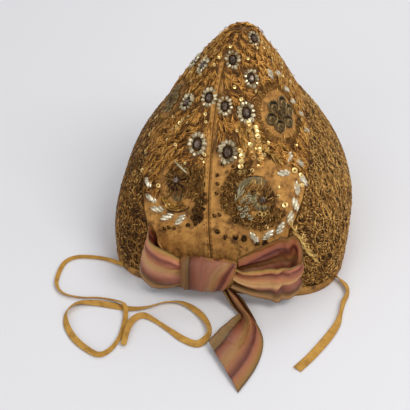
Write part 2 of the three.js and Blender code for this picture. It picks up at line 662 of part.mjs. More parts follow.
/** Soft lump of ribbon that binds the bow, lofted through its oval sections. */
function knot() {
  const facets = new Facets();
  const rings = KNOT.map(({ x, y, z, deep, tall }) =>
    Array.from({ length: KNOT_SIDES }, (_, side) => {
      const turn = (side / KNOT_SIDES) * 2 * Math.PI;
      const round = (value) => Math.sign(value) * Math.abs(value) ** (2 / KNOT_SQUARE);
      const [out, up] = [deep * round(Math.cos(turn)), tall * round(Math.sin(turn))];
      return facets.add(new THREE.Vector3(x, y + out, z + up));
    }),
  );
  for (let i = 0; i < rings.length - 1; i++) {
    for (let side = 0; side < KNOT_SIDES; side++) {
      const next = (side + 1) % KNOT_SIDES;
      facets.quad(rings[i][side], rings[i + 1][side], rings[i + 1][next], rings[i][next]);
    }
  }
  for (let side = 1; side < KNOT_SIDES - 1; side++) {
    facets.triangles.push(rings[0][0], rings[0][side], rings[0][side + 1]);
    facets.triangles.push(rings.at(-1)[0], rings.at(-1)[side + 1], rings.at(-1)[side]);
  }
  return facets.geometry();
}

const bonnet = new THREE.Group();

function addMesh(parent, name, geometry, material) {
  const mesh = new THREE.Mesh(geometry, material);
  mesh.name = name;
  parent.add(mesh);
  return mesh;
}

for (const [word, side] of [["left", -1], ["right", 1]]) {
  addMesh(bonnet, `crown_${word}`, crownHalf(side), materials.goldWork);
  addMesh(bonnet, `wing_${word}`, wingHalf(side), materials.goldWork);
}
addMesh(bonnet, "rim_casing", casing(), materials.silk);

for (const row of MOTIFS) addMesh(bonnet, row.name, motif(row), materials.purl);

STRASS.forEach((row, i) => {
  const seat = seatOn(row.angle, row.height, GAP);
  addMesh(seat, `strass_${String(i + 1).padStart(2, "0")}`, strassFlower(row), materials.strass);
  bonnet.add(seat);
});

for (const [place, rows] of Object.entries(NAVETTES)) {
  rows.forEach(({ angle, height, turn }, i) => {
    const seat = seatOn(angle, height, GAP);
    const name = `${place}_${String(i + 1).padStart(2, "0")}`;
    const stone = addMesh(seat, name, navetteStone(), materials.strass);
    stone.rotation.z = radians(turn);
    bonnet.add(seat);
  });
}

addMesh(bonnet, "bow_loop_left", ribbon(LOOP_LEFT, RIBBON_THICK, LOOP_STEPS), materials.ribbon);
addMesh(bonnet, "bow_loop_right", ribbon(LOOP_RIGHT, RIBBON_THICK, LOOP_STEPS), materials.ribbon);
addMesh(bonnet, "bow_tail", ribbon(TAIL, RIBBON_THICK, TAIL_STEPS), materials.ribbon);
addMesh(bonnet, "bow_knot", knot(), materials.ribbon);
addMesh(bonnet, "tie_left", tie(TIE_LEFT), materials.tape);
addMesh(bonnet, "tie_right", tie(TIE_RIGHT), materials.tape);

export default bonnet;
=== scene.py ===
"""Visual model of a peaked, gold-embroidered bonnet with a striped ribbon bow and two tape ties.

Design values are in millimetres and degrees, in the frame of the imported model: the origin is the foot of the
nape, +X is to the right as seen from behind, +Y is towards the face side and +Z is up. An angle on the cap
is counted from the nape, positive to the right. Meshes are written in metres.
"""

import logging
import math
from dataclasses import dataclass
from enum import Enum
from functools import cache
from typing import NamedTuple, Sequence

import bmesh
import bpy
import numpy as np
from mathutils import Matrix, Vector


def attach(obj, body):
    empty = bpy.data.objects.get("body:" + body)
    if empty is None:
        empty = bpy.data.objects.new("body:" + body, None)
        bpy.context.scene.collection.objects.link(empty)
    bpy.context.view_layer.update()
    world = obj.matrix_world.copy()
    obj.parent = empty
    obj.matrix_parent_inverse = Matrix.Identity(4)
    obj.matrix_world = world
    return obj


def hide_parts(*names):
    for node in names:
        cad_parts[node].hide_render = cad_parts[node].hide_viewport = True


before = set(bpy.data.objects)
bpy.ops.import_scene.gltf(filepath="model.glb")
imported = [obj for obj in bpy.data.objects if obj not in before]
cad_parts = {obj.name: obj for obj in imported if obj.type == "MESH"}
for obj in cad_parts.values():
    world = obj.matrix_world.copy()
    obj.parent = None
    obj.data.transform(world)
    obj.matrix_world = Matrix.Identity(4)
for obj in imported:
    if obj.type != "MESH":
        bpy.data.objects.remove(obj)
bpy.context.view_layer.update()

logging.basicConfig(level=logging.INFO, format="%(name)s: %(message)s")
log = logging.getLogger("bonnet")

Array = np.ndarray
Colour = tuple[float, float, float, float]
Point = tuple[float, float, float]
Pair = tuple[float, float]
Rng = np.random.Generator
Piece = bpy.types.Object
Material = bpy.types.Material
Node = bpy.types.Node
Socket = bpy.types.NodeSocket
MM = 0.001
TINY = 1e-9
UV_UNIT = 100.0
WELD = 0.01
BODY = "root"


class Side(Enum):
    """Half of the bonnet, as seen from behind."""

    LEFT = -1
    RIGHT = 1

    @property
    def word(self) -> str:
        """Returns: the side's name as used in node names."""
        return self.name.lower()


class Slot(Enum):
    """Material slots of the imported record."""

    GOLD = "gold_embroidery"
    SILK = "silk_casing"
    PURL = "padded_purl"
    STONE = "paste_stone"
    RIBBON = "striped_ribbon"
    TAPE = "ochre_tape"


def rows_of(kind: type, *rows: tuple) -> tuple:
    """Returns: a table's rows with their values named."""
    return tuple(kind(*row) for row in rows)


# Shape of the cap


class Section(NamedTuple):
    """Level section of the cap: at runs from 0 at the rim to 1 at the peak."""

    at: float
    height: float
    half_width: float
    centre: float
    back: float
    front: float
    square: float
    seam: float
    lean: float


SECTIONS = rows_of(
    Section,
    (0.0, 0.0, 87.0, 84.0, 0.0, 194.0, 4.2, 0.0, 0.0),
    (0.14, 22.0, 86.5, 84.0, 3.0, 192.0, 4.2, -7.0, 0.0),
    (0.28, 45.0, 80.0, 85.0, 10.0, 187.0, 4.0, -10.5, -1.5),
    (0.42, 66.0, 70.0, 88.0, 20.0, 179.0, 3.4, -12.5, -3.5),
    (0.56, 88.0, 57.0, 93.0, 34.0, 169.0, 2.9, -13.5, -5.0),
    (0.7, 112.0, 42.5, 98.0, 52.0, 154.0, 2.5, -14.0, -5.0),
    (0.82, 134.0, 29.0, 102.0, 70.0, 138.0, 2.2, -12.5, -3.5),
    (0.92, 152.0, 17.5, 104.0, 86.0, 123.0, 2.0, -9.0, -1.5),
    (0.975, 162.5, 9.0, 105.0, 95.5, 115.0, 2.0, -3.5, -0.5),
    (1.0, 166.0, 0.0, 105.0, 105.0, 105.0, 2.0, 0.0, 0.0),
)
FRONT_SQUARE = 2.3


class SeamPoint(NamedTuple):
    """Height of the seam between crown and wing at an angle from the nape."""

    angle: float
    height: float


WING_SEAM = rows_of(
    SeamPoint,
    (30.5, 21.0), (35.0, 40.0), (38.0, 50.0), (45.0, 61.0),
    (53.0, 70.0), (62.0, 77.0), (76.0, 82.0), (105.0, 92.0),
    (140.0, 103.0), (180.0, 108.0),
)
CLOTH_THICK = 2.0
CASING_THICK = 3.0
GAP = 0.35
SEAM_GAP = 0.3
NAPE_HEM = 10.0
SIDE_HEM = 5.0
HEM_TURN = (24.0, 48.0)
EDGE_ROLL = 1.4
CROWN_EDGE = 0.14
CROWN_SPACING = 1.05
WING_START = 31.5
WING_SINK = 1.6
WING_PUFF = 3.6
GATHER_DEPTH = 1.5
GATHER_COUNT = 11
GATHER_SPAN = 30.0
GATHER_TOP = 46.0
RIPPLE_WAVES = 7
RIPPLE_STRETCH = (0.7, 1.5)


def smooth(value: Array, low: float, high: float) -> Array:
    """Eased step from 0 to 1.

    Args:
        value: what is compared with the two limits.
        low: limit where the step begins.
        high: limit where it ends.

    Returns:
        Values from 0 to 1.
    """
    share = np.clip((np.asarray(value, float) - low) / (high - low), 0.0, 1.0)
    return share * share * (3.0 - 2.0 * share)


def unit(vectors: Array) -> Array:
    """Vectors brought to length 1.

    Args:
        vectors: array whose last axis is x, y, z.

    Returns:
        Array of the same shape.
    """
    return vectors / (np.linalg.norm(vectors, axis=-1, keepdims=True) + TINY)


def ripple(points: Array, pitch: float, seed: int) -> Array:
    """Smooth, repeatable unevenness made of a few crossing waves.

    Args:
        points: places, last axis x, y, z.
        pitch: typical distance between crests.
        seed: picks another pattern.

    Returns:
        Values of about -1 to 1, one per place.
    """
    rng = np.random.default_rng(seed)
    total = np.zeros(points.shape[:-1])
    for _ in range(RIPPLE_WAVES):
        heading = unit(rng.normal(size=3))
        stretch = rng.uniform(*RIPPLE_STRETCH)
        total += np.sin(points @ heading * (math.tau * stretch / pitch) + rng.uniform(0.0, math.tau))
    return total / math.sqrt(RIPPLE_WAVES)


def run_length(points: Array) -> Array:
    """Length along a line of points.

    Args:
        points: one row per point.

    Returns:
        Length from the first point to each, starting with 0.
    """
    return np.concatenate([[0.0], np.cumsum(np.linalg.norm(np.diff(points, axis=0), axis=-1))])


def polar(centre: Pair, reach: Array | float, way: Array | float) -> tuple[Array, Array]:
    """Places at distances and directions from a centre.

    Args:
        centre: level and upward place of the centre.
        reach: distances.
        way: directions in radians.

    Returns:
        Level and upward places.
    """
    return centre[0] + reach * np.cos(way), centre[1] + reach * np.sin(way)


class Seats(NamedTuple):
    """Places on the cap with their own level, upward and outward directions, one row each."""

    origin: Array
    level: Array
    upward: Array
    outward: Array

    def turned(self, degrees: Array) -> "Seats":
        """Turns the seats about their outward direction.

        Args:
            degrees: one angle per seat, counter-clockwise as seen from outside.

        Returns:
            Seats at the same places.
        """
        turn = np.radians(np.broadcast_to(degrees, self.origin.shape[:1]))[:, None]
        level = self.level * np.cos(turn) + self.upward * np.sin(turn)
        upward = self.upward * np.cos(turn) - self.level * np.sin(turn)
        return Seats(self.origin, level, upward, self.outward)

    def tilted(self, share: float, seed: int) -> "Seats":
        """Leans each seat a little at random.

        Args:
            share: largest lean as a slope.
            seed: picks another set of leans.

        Returns:
            Seats at the same places.
        """
        rng = np.random.default_rng(seed)
        lean = rng.uniform(-share, share, (len(self.origin), 2))
        outward = unit(self.outward + lean[:, :1] * self.level + lean[:, 1:] * self.upward)
        level = unit(np.cross(self.upward, outward))
        return Seats(self.origin, level, np.cross(outward, level), outward)

    def raised(self, lift: float) -> "Seats":
        """Moves the seats outwards."""
        return self._replace(origin=self.origin + lift * self.outward)


class CapSurface:
    """Outer surface of the cap, read from its level sections on smooth curves."""

    FINE_STEPS = 1601
    LEAST_REACH = 0.01
    PEAK_AT = 0.995
    STEP_ANGLE = 0.5
    STEP_AT = 0.004
    SEARCH_ROUNDS = 14
    SEARCH_HASTE = 0.75

    def __init__(self, sections: Sequence[Section]) -> None:
        """Reads the table.

        Args:
            sections: level sections from the rim to the peak.
        """
        table = np.array(sections)
        self._places = table[:, 0]
        self._values = dict(zip(Section._fields, table.T))
        self._slopes = {name: self._knot_slopes(values) for name, values in self._values.items()}
        self._fine = np.linspace(0.0, 1.0, self.FINE_STEPS)
        self._fine_heights = self.column("height", self._fine)

    def _knot_slopes(self, values: Array) -> Array:
        """Slope of one column at each section.

        Args:
            values: the column.

        Returns:
            One slope per section.
        """
        rise = np.diff(values) / np.diff(self._places)
        inner = (values[2:] - values[:-2]) / (self._places[2:] - self._places[:-2])
        return np.concatenate([rise[:1], inner, rise[-1:]])

    def column(self, name: str, at: Array) -> Array:
        """Value of one column at places along the sections.

        Args:
            name: field of Section.
            at: places from 0 to 1.

        Returns:
            One value per place.
        """
        at = np.clip(np.asarray(at, float), 0.0, 1.0)
        i = np.clip(np.searchsorted(self._places, at) - 1, 0, len(self._places) - 2)
        values, slopes = self._values[name], self._slopes[name]
        span = self._places[i + 1] - self._places[i]
        s = (at - self._places[i]) / span
        bend = s * s * (3.0 - 2.0 * s)
        curve = s * (1.0 - s) ** 2 * slopes[i] - s * s * (1.0 - s) * slopes[i + 1]
        return values[i] + (values[i + 1] - values[i]) * bend + span * curve

    def place(self, height: Array) -> Array:
        """Place along the sections of a height above the rim."""
        return np.interp(height, self._fine_heights, self._fine)

    def point(self, angle: Array, at: Array) -> Array:
        """Points of the surface.

        Args:
            angle: angles from the nape.
            at: places along the sections.

        Returns:
            Array of points, last axis x, y, z.
        """
        angle, at = np.broadcast_arrays(np.asarray(angle, float), np.asarray(at, float))
        s, c = np.sin(np.radians(angle)), np.cos(np.radians(angle))
        half = np.maximum(self.column("half_width", at), self.LEAST_REACH)
        centre = self.column("centre", at)
        reach = np.where(c > 0, centre - self.column("back", at), self.column("front", at) - centre)
        reach = np.maximum(reach, self.LEAST_REACH)
        square = np.where(c > 0, self.column("square", at), FRONT_SQUARE)
        radius = ((np.abs(s) / half) ** square + (np.abs(c) / reach) ** square) ** (-1.0 / square)
        x = radius * s
        drift = self.column("seam", at) * (1.0 - (x / half) ** 2) * np.maximum(c, 0.0)
        lean = self.column("lean", at) * (x / half) ** 2
        return np.stack([x + drift + lean, centre - radius * c, self.column("height", at)], axis=-1)

    def normal(self, angle: Array, at: Array) -> Array:
        """Outward directions of the surface.

        Args:
            angle: angles from the nape.
            at: places along the sections.

        Returns:
            Array of unit vectors.
        """
        angle, at = np.broadcast_arrays(np.asarray(angle, float), np.asarray(at, float))
        round_way = self.point(angle + self.STEP_ANGLE, at) - self.point(angle - self.STEP_ANGLE, at)
        rise = self.point(angle, at + self.STEP_AT) - self.point(angle, np.maximum(at - self.STEP_AT, 0.0))
        outward = unit(np.cross(round_way, rise))
        return np.where((at >= self.PEAK_AT)[..., None], np.array([0.0, 0.0, 1.0]), outward)

    def seats_at(self, angle: Array, at: Array) -> Seats:
        """Seats on the surface.

        Args:
            angle: angles from the nape.
            at: places along the sections.

        Returns:
            One seat per angle.
        """
        angle, at = np.atleast_1d(np.asarray(angle, float)), np.atleast_1d(np.asarray(at, float))
        outward = self.normal(angle, at)
        level = unit(np.cross(np.array([0.0, 0.0, 1.0]), outward))
        return Seats(self.point(angle, at), level, np.cross(outward, level), outward)

    def seats(self, angle: Array, height: Array) -> Seats:
        """Seats on the surface by height."""
        return self.seats_at(angle, self.place(height))

    def nearest(self, points: Array) -> tuple[Array, Array]:
        """Places of the surface nearest to points, found step by step.

        Args:
            points: places near the surface.

        Returns:
            Angles and places along the sections.
        """
        at = self.place(points[..., 2])
        angle = np.degrees(np.arctan2(points[..., 0], self.column("centre", at) - points[..., 1]))
        for _ in range(self.SEARCH_ROUNDS):
            here = self.point(angle, at)
            miss = points - here
            round_way = (self.point(angle + self.STEP_ANGLE, at) - here) / self.STEP_ANGLE
            rise = (self.point(angle, at + self.STEP_AT) - here) / self.STEP_AT
            angle = angle + self.SEARCH_HASTE * np.sum(miss * round_way, -1) / np.sum(round_way**2, -1)
            at = at + self.SEARCH_HASTE * np.sum(miss * rise, -1) / (np.sum(rise**2, -1) + TINY)
            at = np.clip(at, 0.0, self.PEAK_AT)
        return angle, at

    def around(self, seats: Seats, x: Array, y: Array) -> tuple[Array, Array]:
        """Places of the surface at level and upward distances from seats.

        Args:
            seats: N seats.
            x: level distances, N rows.
            y: upward distances, N rows.

        Returns:
            Angles and places along the sections, shaped as x.
        """
        spread = (slice(None),) + (None,) * (np.ndim(x) - 1)
        origin, level, upward, _ = (part[spread] for part in seats)
        return self.nearest(origin + x[..., None] * level + y[..., None] * upward)

    def beside(self, seat: Seats, x: Array, y: Array) -> Seats:
        """Seats at level and upward distances from one seat."""
        angle, at = self.around(seat, np.atleast_1d(x)[None], np.atleast_1d(y)[None])
        return self.seats_at(angle[0], at[0])

    def drape(self, seats: Seats, x: Array, y: Array, lift: Array) -> tuple[Array, Array]:
        """Lays a flat drawing on the surface.

        Args:
            seats: N seats.
            x: level distances, N rows.
            y: upward distances, N rows.
            lift: heights over the surface.

        Returns:
            Points and outward directions, shaped as x.
        """
        angle, at = self.around(seats, x, y)
        outward = self.normal(angle, at)
        return self.point(angle, at) + np.asarray(lift)[..., None] * outward, outward


CAP = CapSurface(SECTIONS)


def seam_height(angle: Array) -> Array:
    """Height of the seam between crown and wing.

    Args:
        angle: angles from the nape, either sign.

    Returns:
        Heights above the rim.
    """
    return np.interp(np.abs(angle), [p.angle for p in WING_SEAM], [p.height for p in WING_SEAM])


def hem_height(angle: Array) -> Array:
    """Height of the casing, which is taller at the nape.

    Args:
        angle: angles from the nape, either sign.

    Returns:
        Heights above the rim.
    """
    return NAPE_HEM + (SIDE_HEM - NAPE_HEM) * smooth(np.abs(angle), *HEM_TURN)


# Looks


class Patches(NamedTuple):
    """Spread of a patchy colour: patches per metre, and the noise where they begin and are full."""

    scale: float
    low: float
    high: float


DYE = Patches(130.0, 0.35, 0.65)
STAIN = Patches(170.0, 0.46, 0.72)
SPECK = Patches(620.0, 0.56, 0.76)
WEAR = Patches(160.0, 0.5, 0.8)
# Streaks of painted shade along the ribbon's creases.
CREASE_SHADE_STREAK = Patches(1.0, 0.42, 0.72)
FOIL = Patches(620.0, 0.4, 0.62)


@dataclass(frozen=True)
class ThreadFinish:
    """Look of a metal thread, from its shaded to its bright strands."""

    name: str
    dark: Colour
    middle: Colour
    light: Colour
    metallic: float
    roughness: float
    coil: float


@dataclass(frozen=True)
class ClothFinish:
    """Look of a woven cloth: its light and dark yarn, its stains, and its ground colour, which paints shade
    under the embroidery and in folds.
    """

    name: str
    light: Colour
    dark: Colour
    stain: Colour
    # ground: colour of the painted shade under the embroidery and in folds.
    ground: Colour
    roughness: float
    weave: float
    relief: float


@dataclass(frozen=True)
class StoneFinish:
    """Look of a cut stone over foil."""

    name: str
    light: Colour
    dark: Colour
    metallic: float
    roughness: float
    foil: float


@dataclass(frozen=True)
class PatchedFinish:
    """Plain look with patches of a second colour."""

    name: str
    patches: Patches
    first: Colour
    second: Colour
    metallic: float
    roughness: float


FERN_GOLD = ThreadFinish(
    "fern_gold_thread", (0.07, 0.025, 0.006, 1), (0.52, 0.23, 0.044, 1), (1.0, 0.58, 0.15, 1), 0.7, 0.36, 0.55
)
WING_GOLD = ThreadFinish(
    "wing_gold_thread", (0.05, 0.02, 0.005, 1), (0.5, 0.23, 0.048, 1), (1.0, 0.62, 0.19, 1), 0.7, 0.34, 0.5
)
DARK_PURL = ThreadFinish(
    "dark_purl", (0.025, 0.01, 0.003, 1), (0.32, 0.148, 0.031, 1), (0.92, 0.57, 0.17, 1), 0.7, 0.34, 0.45
)
GREY_PURL = ThreadFinish(
    "grey_purl", (0.03, 0.018, 0.006, 1), (0.24, 0.15, 0.05, 1), (0.58, 0.4, 0.17, 1), 0.5, 0.38, 0.45
)
SILVER_GREEN = ThreadFinish(
    "silver_green_thread", (0.1, 0.075, 0.03, 1), (0.36, 0.29, 0.14, 1), (0.72, 0.64, 0.42, 1), 0.5, 0.3, 0.6
)
BRIGHT_GOLD = ThreadFinish(
    "bright_gold_thread", (0.12, 0.05, 0.01, 1), (0.62, 0.33, 0.065, 1), (1.0, 0.72, 0.26, 1), 0.75, 0.3, 0.8
)
CROWN_SILK = ClothFinish(
    "crown_silk", (0.6, 0.3, 0.074, 1), (0.4, 0.18, 0.041, 1),
    (0.13, 0.055, 0.014, 1), (0.13, 0.056, 0.014, 1), 0.62, 0.42, 0.25,
)
WING_GROUND = ClothFinish(
    "wing_ground", (0.18, 0.085, 0.02, 1), (0.07, 0.032, 0.009, 1),
    (0.02, 0.009, 0.003, 1), (0.07, 0.032, 0.009, 1), 0.65, 0.42, 0.4,
)
CASING_SILK = ClothFinish(
    "casing_silk", (0.5, 0.25, 0.06, 1), (0.3, 0.14, 0.034, 1),
    (0.11, 0.05, 0.014, 1), (0.3, 0.14, 0.034, 1), 0.6, 0.42, 0.3,
)
LINING_LINEN = ClothFinish(
    "lining_linen", (0.56, 0.43, 0.26, 1), (0.44, 0.32, 0.18, 1),
    (0.3, 0.2, 0.1, 1), (0.44, 0.32, 0.18, 1), 0.8, 0.7, 0.45,
)
TAPE_COTTON = ClothFinish(
    "tape_cotton", (0.62, 0.34, 0.072, 1), (0.5, 0.26, 0.05, 1),
    (0.4, 0.2, 0.042, 1), (0.46, 0.235, 0.045, 1), 0.72, 0.5, 0.4,
)
CLEAR_PASTE = StoneFinish("clear_paste", (1.0, 0.87, 0.56, 1), (0.12, 0.072, 0.022, 1), 0.3, 0.1, 0.75)
PEARL_PASTE = StoneFinish("pearl_paste", (1.0, 0.92, 0.68, 1), (0.2, 0.14, 0.06, 1), 0.3, 0.12, 0.6)
VIOLET_PASTE = StoneFinish("violet_paste", (0.2, 0.125, 0.085, 1), (0.016, 0.009, 0.006, 1), 0.2, 0.2, 1.0)
GILT_SEQUIN = PatchedFinish(
    "gilt_sequin", Patches(260.0, 0.45, 0.7), (1.0, 0.72, 0.28, 1), (0.62, 0.36, 0.1, 1), 0.85, 0.3
)
PALE_TABLE = PatchedFinish(
    "pale_table", Patches(3.0, 0.2, 0.8), (0.8, 0.795, 0.805, 1), (0.78, 0.775, 0.785, 1), 0.0, 0.7
)


class RibbonStop(NamedTuple):
    """Colour of the ribbon's stripes at a share of its width."""

    across: float
    colour: Colour


RIBBON_STRIPES = rows_of(
    RibbonStop,
    (0.0, (0.155, 0.08, 0.015, 1)),
    (0.045, (0.44, 0.25, 0.052, 1)),
    (0.12, (0.58, 0.25, 0.088, 1)),
    (0.2, (0.52, 0.18, 0.094, 1)),
    (0.245, (0.165, 0.032, 0.018, 1)),
    (0.3, (0.255, 0.068, 0.036, 1)),
    (0.4, (0.52, 0.21, 0.08, 1)),
    (0.49, (0.565, 0.305, 0.108, 1)),
    (0.58, (0.565, 0.305, 0.128, 1)),
    (0.67, (0.475, 0.182, 0.108, 1)),
    (0.75, (0.27, 0.08, 0.043, 1)),
    (0.81, (0.142, 0.039, 0.016, 1)),
    (0.85, (0.108, 0.041, 0.01, 1)),
    (0.9, (0.23, 0.123, 0.029, 1)),
    (0.96, (0.407, 0.197, 0.07, 1)),
    (1.0, (0.179, 0.091, 0.022, 1)),
)
# Stripes of the tail: the dark line from 0.785 to 0.822 is a painted shadow under its folded edge.
TAIL_STRIPES_WITH_FOLD_SHADOW = RIBBON_STRIPES[:10] + (
    RibbonStop(0.74, (0.34, 0.1, 0.047, 1)),
    RibbonStop(0.785, (0.16, 0.04, 0.016, 1)),
    RibbonStop(0.802, (0.07, 0.024, 0.008, 1)),
    RibbonStop(0.822, (0.3, 0.18, 0.055, 1)),
    RibbonStop(0.95, (0.38, 0.235, 0.09, 1)),
    RibbonStop(1.0, (0.24, 0.12, 0.04, 1)),
)
PLAIN = (1.0, 1.0, 1.0, 1.0)
# Colour of the ribbon's real wear, also dimmed for its painted crease shade.
RIBBON_WEAR_AND_SHADE = (0.46, 0.26, 0.12, 1)
# Tint of the loops' reverse side: painted shade inside the bow's loops.
RIBBON_SHADED_REVERSE = (0.62, 0.47, 0.4, 1)
# Tint of the knot and the tail: partly real dirt, partly painted shade that keeps these upturned parts darker
# than the loops.
RIBBON_DIRT_AND_SHADE = (0.655, 0.6, 0.55, 1)


def tinted(colour: Colour, tint: Colour, share: float = 1.0) -> Colour:
    """Colour seen through another.

    Args:
        colour: the colour.
        tint: colour that multiplies it.
        share: how much of its brightness is left.

    Returns:
        The darker colour.
    """
    return tuple(share * part * own for part, own in zip(tint, colour))


class NodeBench:
    """Adds nodes to one node tree and joins them."""

    def __init__(self, tree: bpy.types.NodeTree) -> None:
        """Takes the tree."""
        self.tree = tree

    def feed(self, socket: Socket, value: object) -> None:
        """Sets an input, or links it.

        Args:
            socket: the input.
            value: its value, or the socket that feeds it.
        """
        if isinstance(value, Socket):
            self.tree.links.new(value, socket)
        else:
            socket.default_value = value

    def add(self, kind: str, inputs: dict | None = None, **settings: object) -> Node:
        """Adds one node.

        Args:
            kind: node type.
            inputs: socket name or number to a value or to a socket that feeds it.
            **settings: the node's own properties.

        Returns:
            The new node.
        """
        node = self.tree.nodes.new(kind)
        for key, value in settings.items():
            setattr(node, key, value)
        for key, value in (inputs or {}).items():
            self.feed(node.inputs[key], value)
        return node

    def math(self, operation: str, *values: object) -> Socket:
        """Adds a sum, product or other function."""
        return self.add("ShaderNodeMath", dict(enumerate(values)), operation=operation).outputs[0]

    def mix(self, share: object, first: object, second: object) -> Socket:
        """Adds a mix of two colours.

        Args:
            share: value or socket, 0 for the first colour.
            first: colour or socket.
            second: colour or socket.

        Returns:
            The result's socket.
        """
        node = self.add("ShaderNodeMix", data_type="RGBA")
        for name, value in (("Factor", share), ("A", first), ("B", second)):
            self.feed(next(s for s in node.inputs if s.name == name and s.enabled), value)
        return next(s for s in node.outputs if s.enabled)

    def attribute(self, name: str) -> Socket:
        """Returns: the socket of a value that the mesh holds by corner."""
        return self.add("ShaderNodeAttribute", attribute_name=name).outputs["Fac"]

    def noise(self, vector: Socket, grain: dict) -> Socket:
        """Returns: noise of one grain over places."""
        return self.add("ShaderNodeTexNoise", {"Vector": vector} | grain).outputs[0]

    def bump(self, height: Socket, strength: object, depth: float) -> Socket:
        """Returns: normals with a fine relief, of a depth in metres."""
        inputs = {"Height": height, "Strength": strength, "Distance": depth}
        return self.add("ShaderNodeBump", inputs).outputs[0]

    def shade(self, inputs: dict) -> None:
        """Adds a material's shader and output."""
        shader = self.add("ShaderNodeBsdfPrincipled", inputs)
        self.add("ShaderNodeOutputMaterial", {"Surface": shader.outputs[0]})


class Looks:
    """Makes the materials, each once, from two shared node groups."""

    MOTTLE_INPUTS = {
        "Vector": "NodeSocketVector",
        "Scale": "NodeSocketFloat",
        "Low": "NodeSocketFloat",
        "High": "NodeSocketFloat",
        "First": "NodeSocketColor",
        "Second": "NodeSocketColor",
    }
    WEAVE_INPUTS = {"Vector": "NodeSocketVector", "Pitch": "NodeSocketFloat", "Strength": "NodeSocketFloat"}
    MOTTLE_GRAIN = {"Detail": 4.0, "Roughness": 0.6}
    YARN_HEIGHT = 0.25
    SLUB_STRETCH = (18.0, 160.0, 1.0)
    SLUB_GRAIN = {"Scale": 1.0, "Detail": 3.0}
    WEAVE_DEPTH = 0.0006
    THREAD_GRAIN = {"Scale": 900.0, "Detail": 2.0}
    THREAD_UNEVEN = 0.5
    COIL_BUMP = (0.2, 0.0001)
    STRIPE_SWAY = 0.05
    SWAY_GRAIN = {"Scale": 45.0, "Detail": 2.0}
    RIBBON_FADE = 0.45
    # Painted crease shade: its stretch, how dark it is and how much of it shows.
    CREASE_SHADE_STRETCH = (3.0, 64.0, 1.0)
    CREASE_SHADE_DIM = 0.42
    CREASE_SHADE_SHARE = 0.35
    RIBBON_RIB = 0.55
    RIB_BUMP = (0.12, 0.0002)
    CLOTH_GLOSS = {"Specular IOR Level": 0.2, "Sheen Weight": 0.04}
    RIBBON_GLOSS = {"Roughness": 0.46, "Specular IOR Level": 0.35}
    STONE_GLOSS = {
        "IOR": 1.55,
        "Specular Tint": (1.0, 0.9, 0.74, 1),
        "Coat Weight": 0.3,
        "Coat Roughness": 0.05,
    }

    def __init__(self) -> None:
        """Makes the shared groups."""
        self._mottle = self._mottle_group()
        self._weave = self._weave_group()

    @staticmethod
    def _group(name: str, inputs: dict[str, str], outputs: dict[str, str]) -> tuple[NodeBench, Node, Node]:
        """Makes an empty shader group.

        Args:
            name: name of the group.
            inputs: input names to socket types.
            outputs: output names to socket types.

        Returns:
            The group's bench, its input node and its output node.
        """
        group = bpy.data.node_groups.new(name, "ShaderNodeTree")
        for way, sockets in (("INPUT", inputs), ("OUTPUT", outputs)):
            for label, kind in sockets.items():
                group.interface.new_socket(label, in_out=way, socket_type=kind)
        bench = NodeBench(group)
        return bench, bench.add("NodeGroupInput"), bench.add("NodeGroupOutput")

    def _mottle_group(self) -> bpy.types.NodeTree:
        """Group for patches of one colour in another.

        Returns:
            The group: Color and the patches' Mask.
        """
        outputs = {"Color": "NodeSocketColor", "Mask": "NodeSocketFloat"}
        bench, given, result = self._group("mottle", self.MOTTLE_INPUTS, outputs)
        vector, scale, low, high, first, second = (given.outputs[name] for name in self.MOTTLE_INPUTS)
        noise = bench.noise(vector, {"Scale": scale} | self.MOTTLE_GRAIN)
        limits = {0: noise, 1: low, 2: high}
        mask = bench.add("ShaderNodeMapRange", limits, interpolation_type="SMOOTHSTEP").outputs[0]
        bench.feed(result.inputs["Color"], bench.mix(mask, first, second))
        bench.feed(result.inputs["Mask"], mask)
        return bench.tree

    def _weave_group(self) -> bpy.types.NodeTree:
        """Group for the relief of a plain weave with uneven yarn.

        Returns:
            The group: the yarn's Normal.
        """
        bench, given, result = self._group("weave", self.WEAVE_INPUTS, {"Normal": "NodeSocketVector"})
        vector, pitch, strength = (given.outputs[name] for name in self.WEAVE_INPUTS)
        parts = bench.add("ShaderNodeSeparateXYZ", {0: vector})
        rate = bench.math("DIVIDE", math.tau, pitch)
        waves = [bench.math("SINE", bench.math("MULTIPLY", parts.outputs[axis], rate)) for axis in "XY"]
        yarn = bench.math("MULTIPLY", bench.math("ADD", *waves), self.YARN_HEIGHT)
        stretched = bench.add("ShaderNodeMapping", {"Vector": vector, "Scale": self.SLUB_STRETCH}).outputs[0]
        slub = bench.noise(stretched, self.SLUB_GRAIN)
        normal = bench.bump(bench.math("ADD", yarn, slub), strength, self.WEAVE_DEPTH)
        bench.feed(result.inputs["Normal"], normal)
        return bench.tree

    @staticmethod
    def _blank(name: str) -> tuple[Material, NodeBench]:
        """Makes a material with no nodes.

        Args:
            name: name of the material.

        Returns:
            The material and its bench.
        """
        material = bpy.data.materials.new(name)
        material.use_nodes = True
        material.node_tree.nodes.clear()
        return material, NodeBench(material.node_tree)

    def _mottled(
        self, bench: NodeBench, vector: Socket, patches: Patches, first: object, second: object
    ) -> Node:
        """Puts patches of one colour in another."""
        inputs = dict(zip(self.MOTTLE_INPUTS, (vector, *patches, first, second)))
        return bench.add("ShaderNodeGroup", inputs, node_tree=self._mottle)

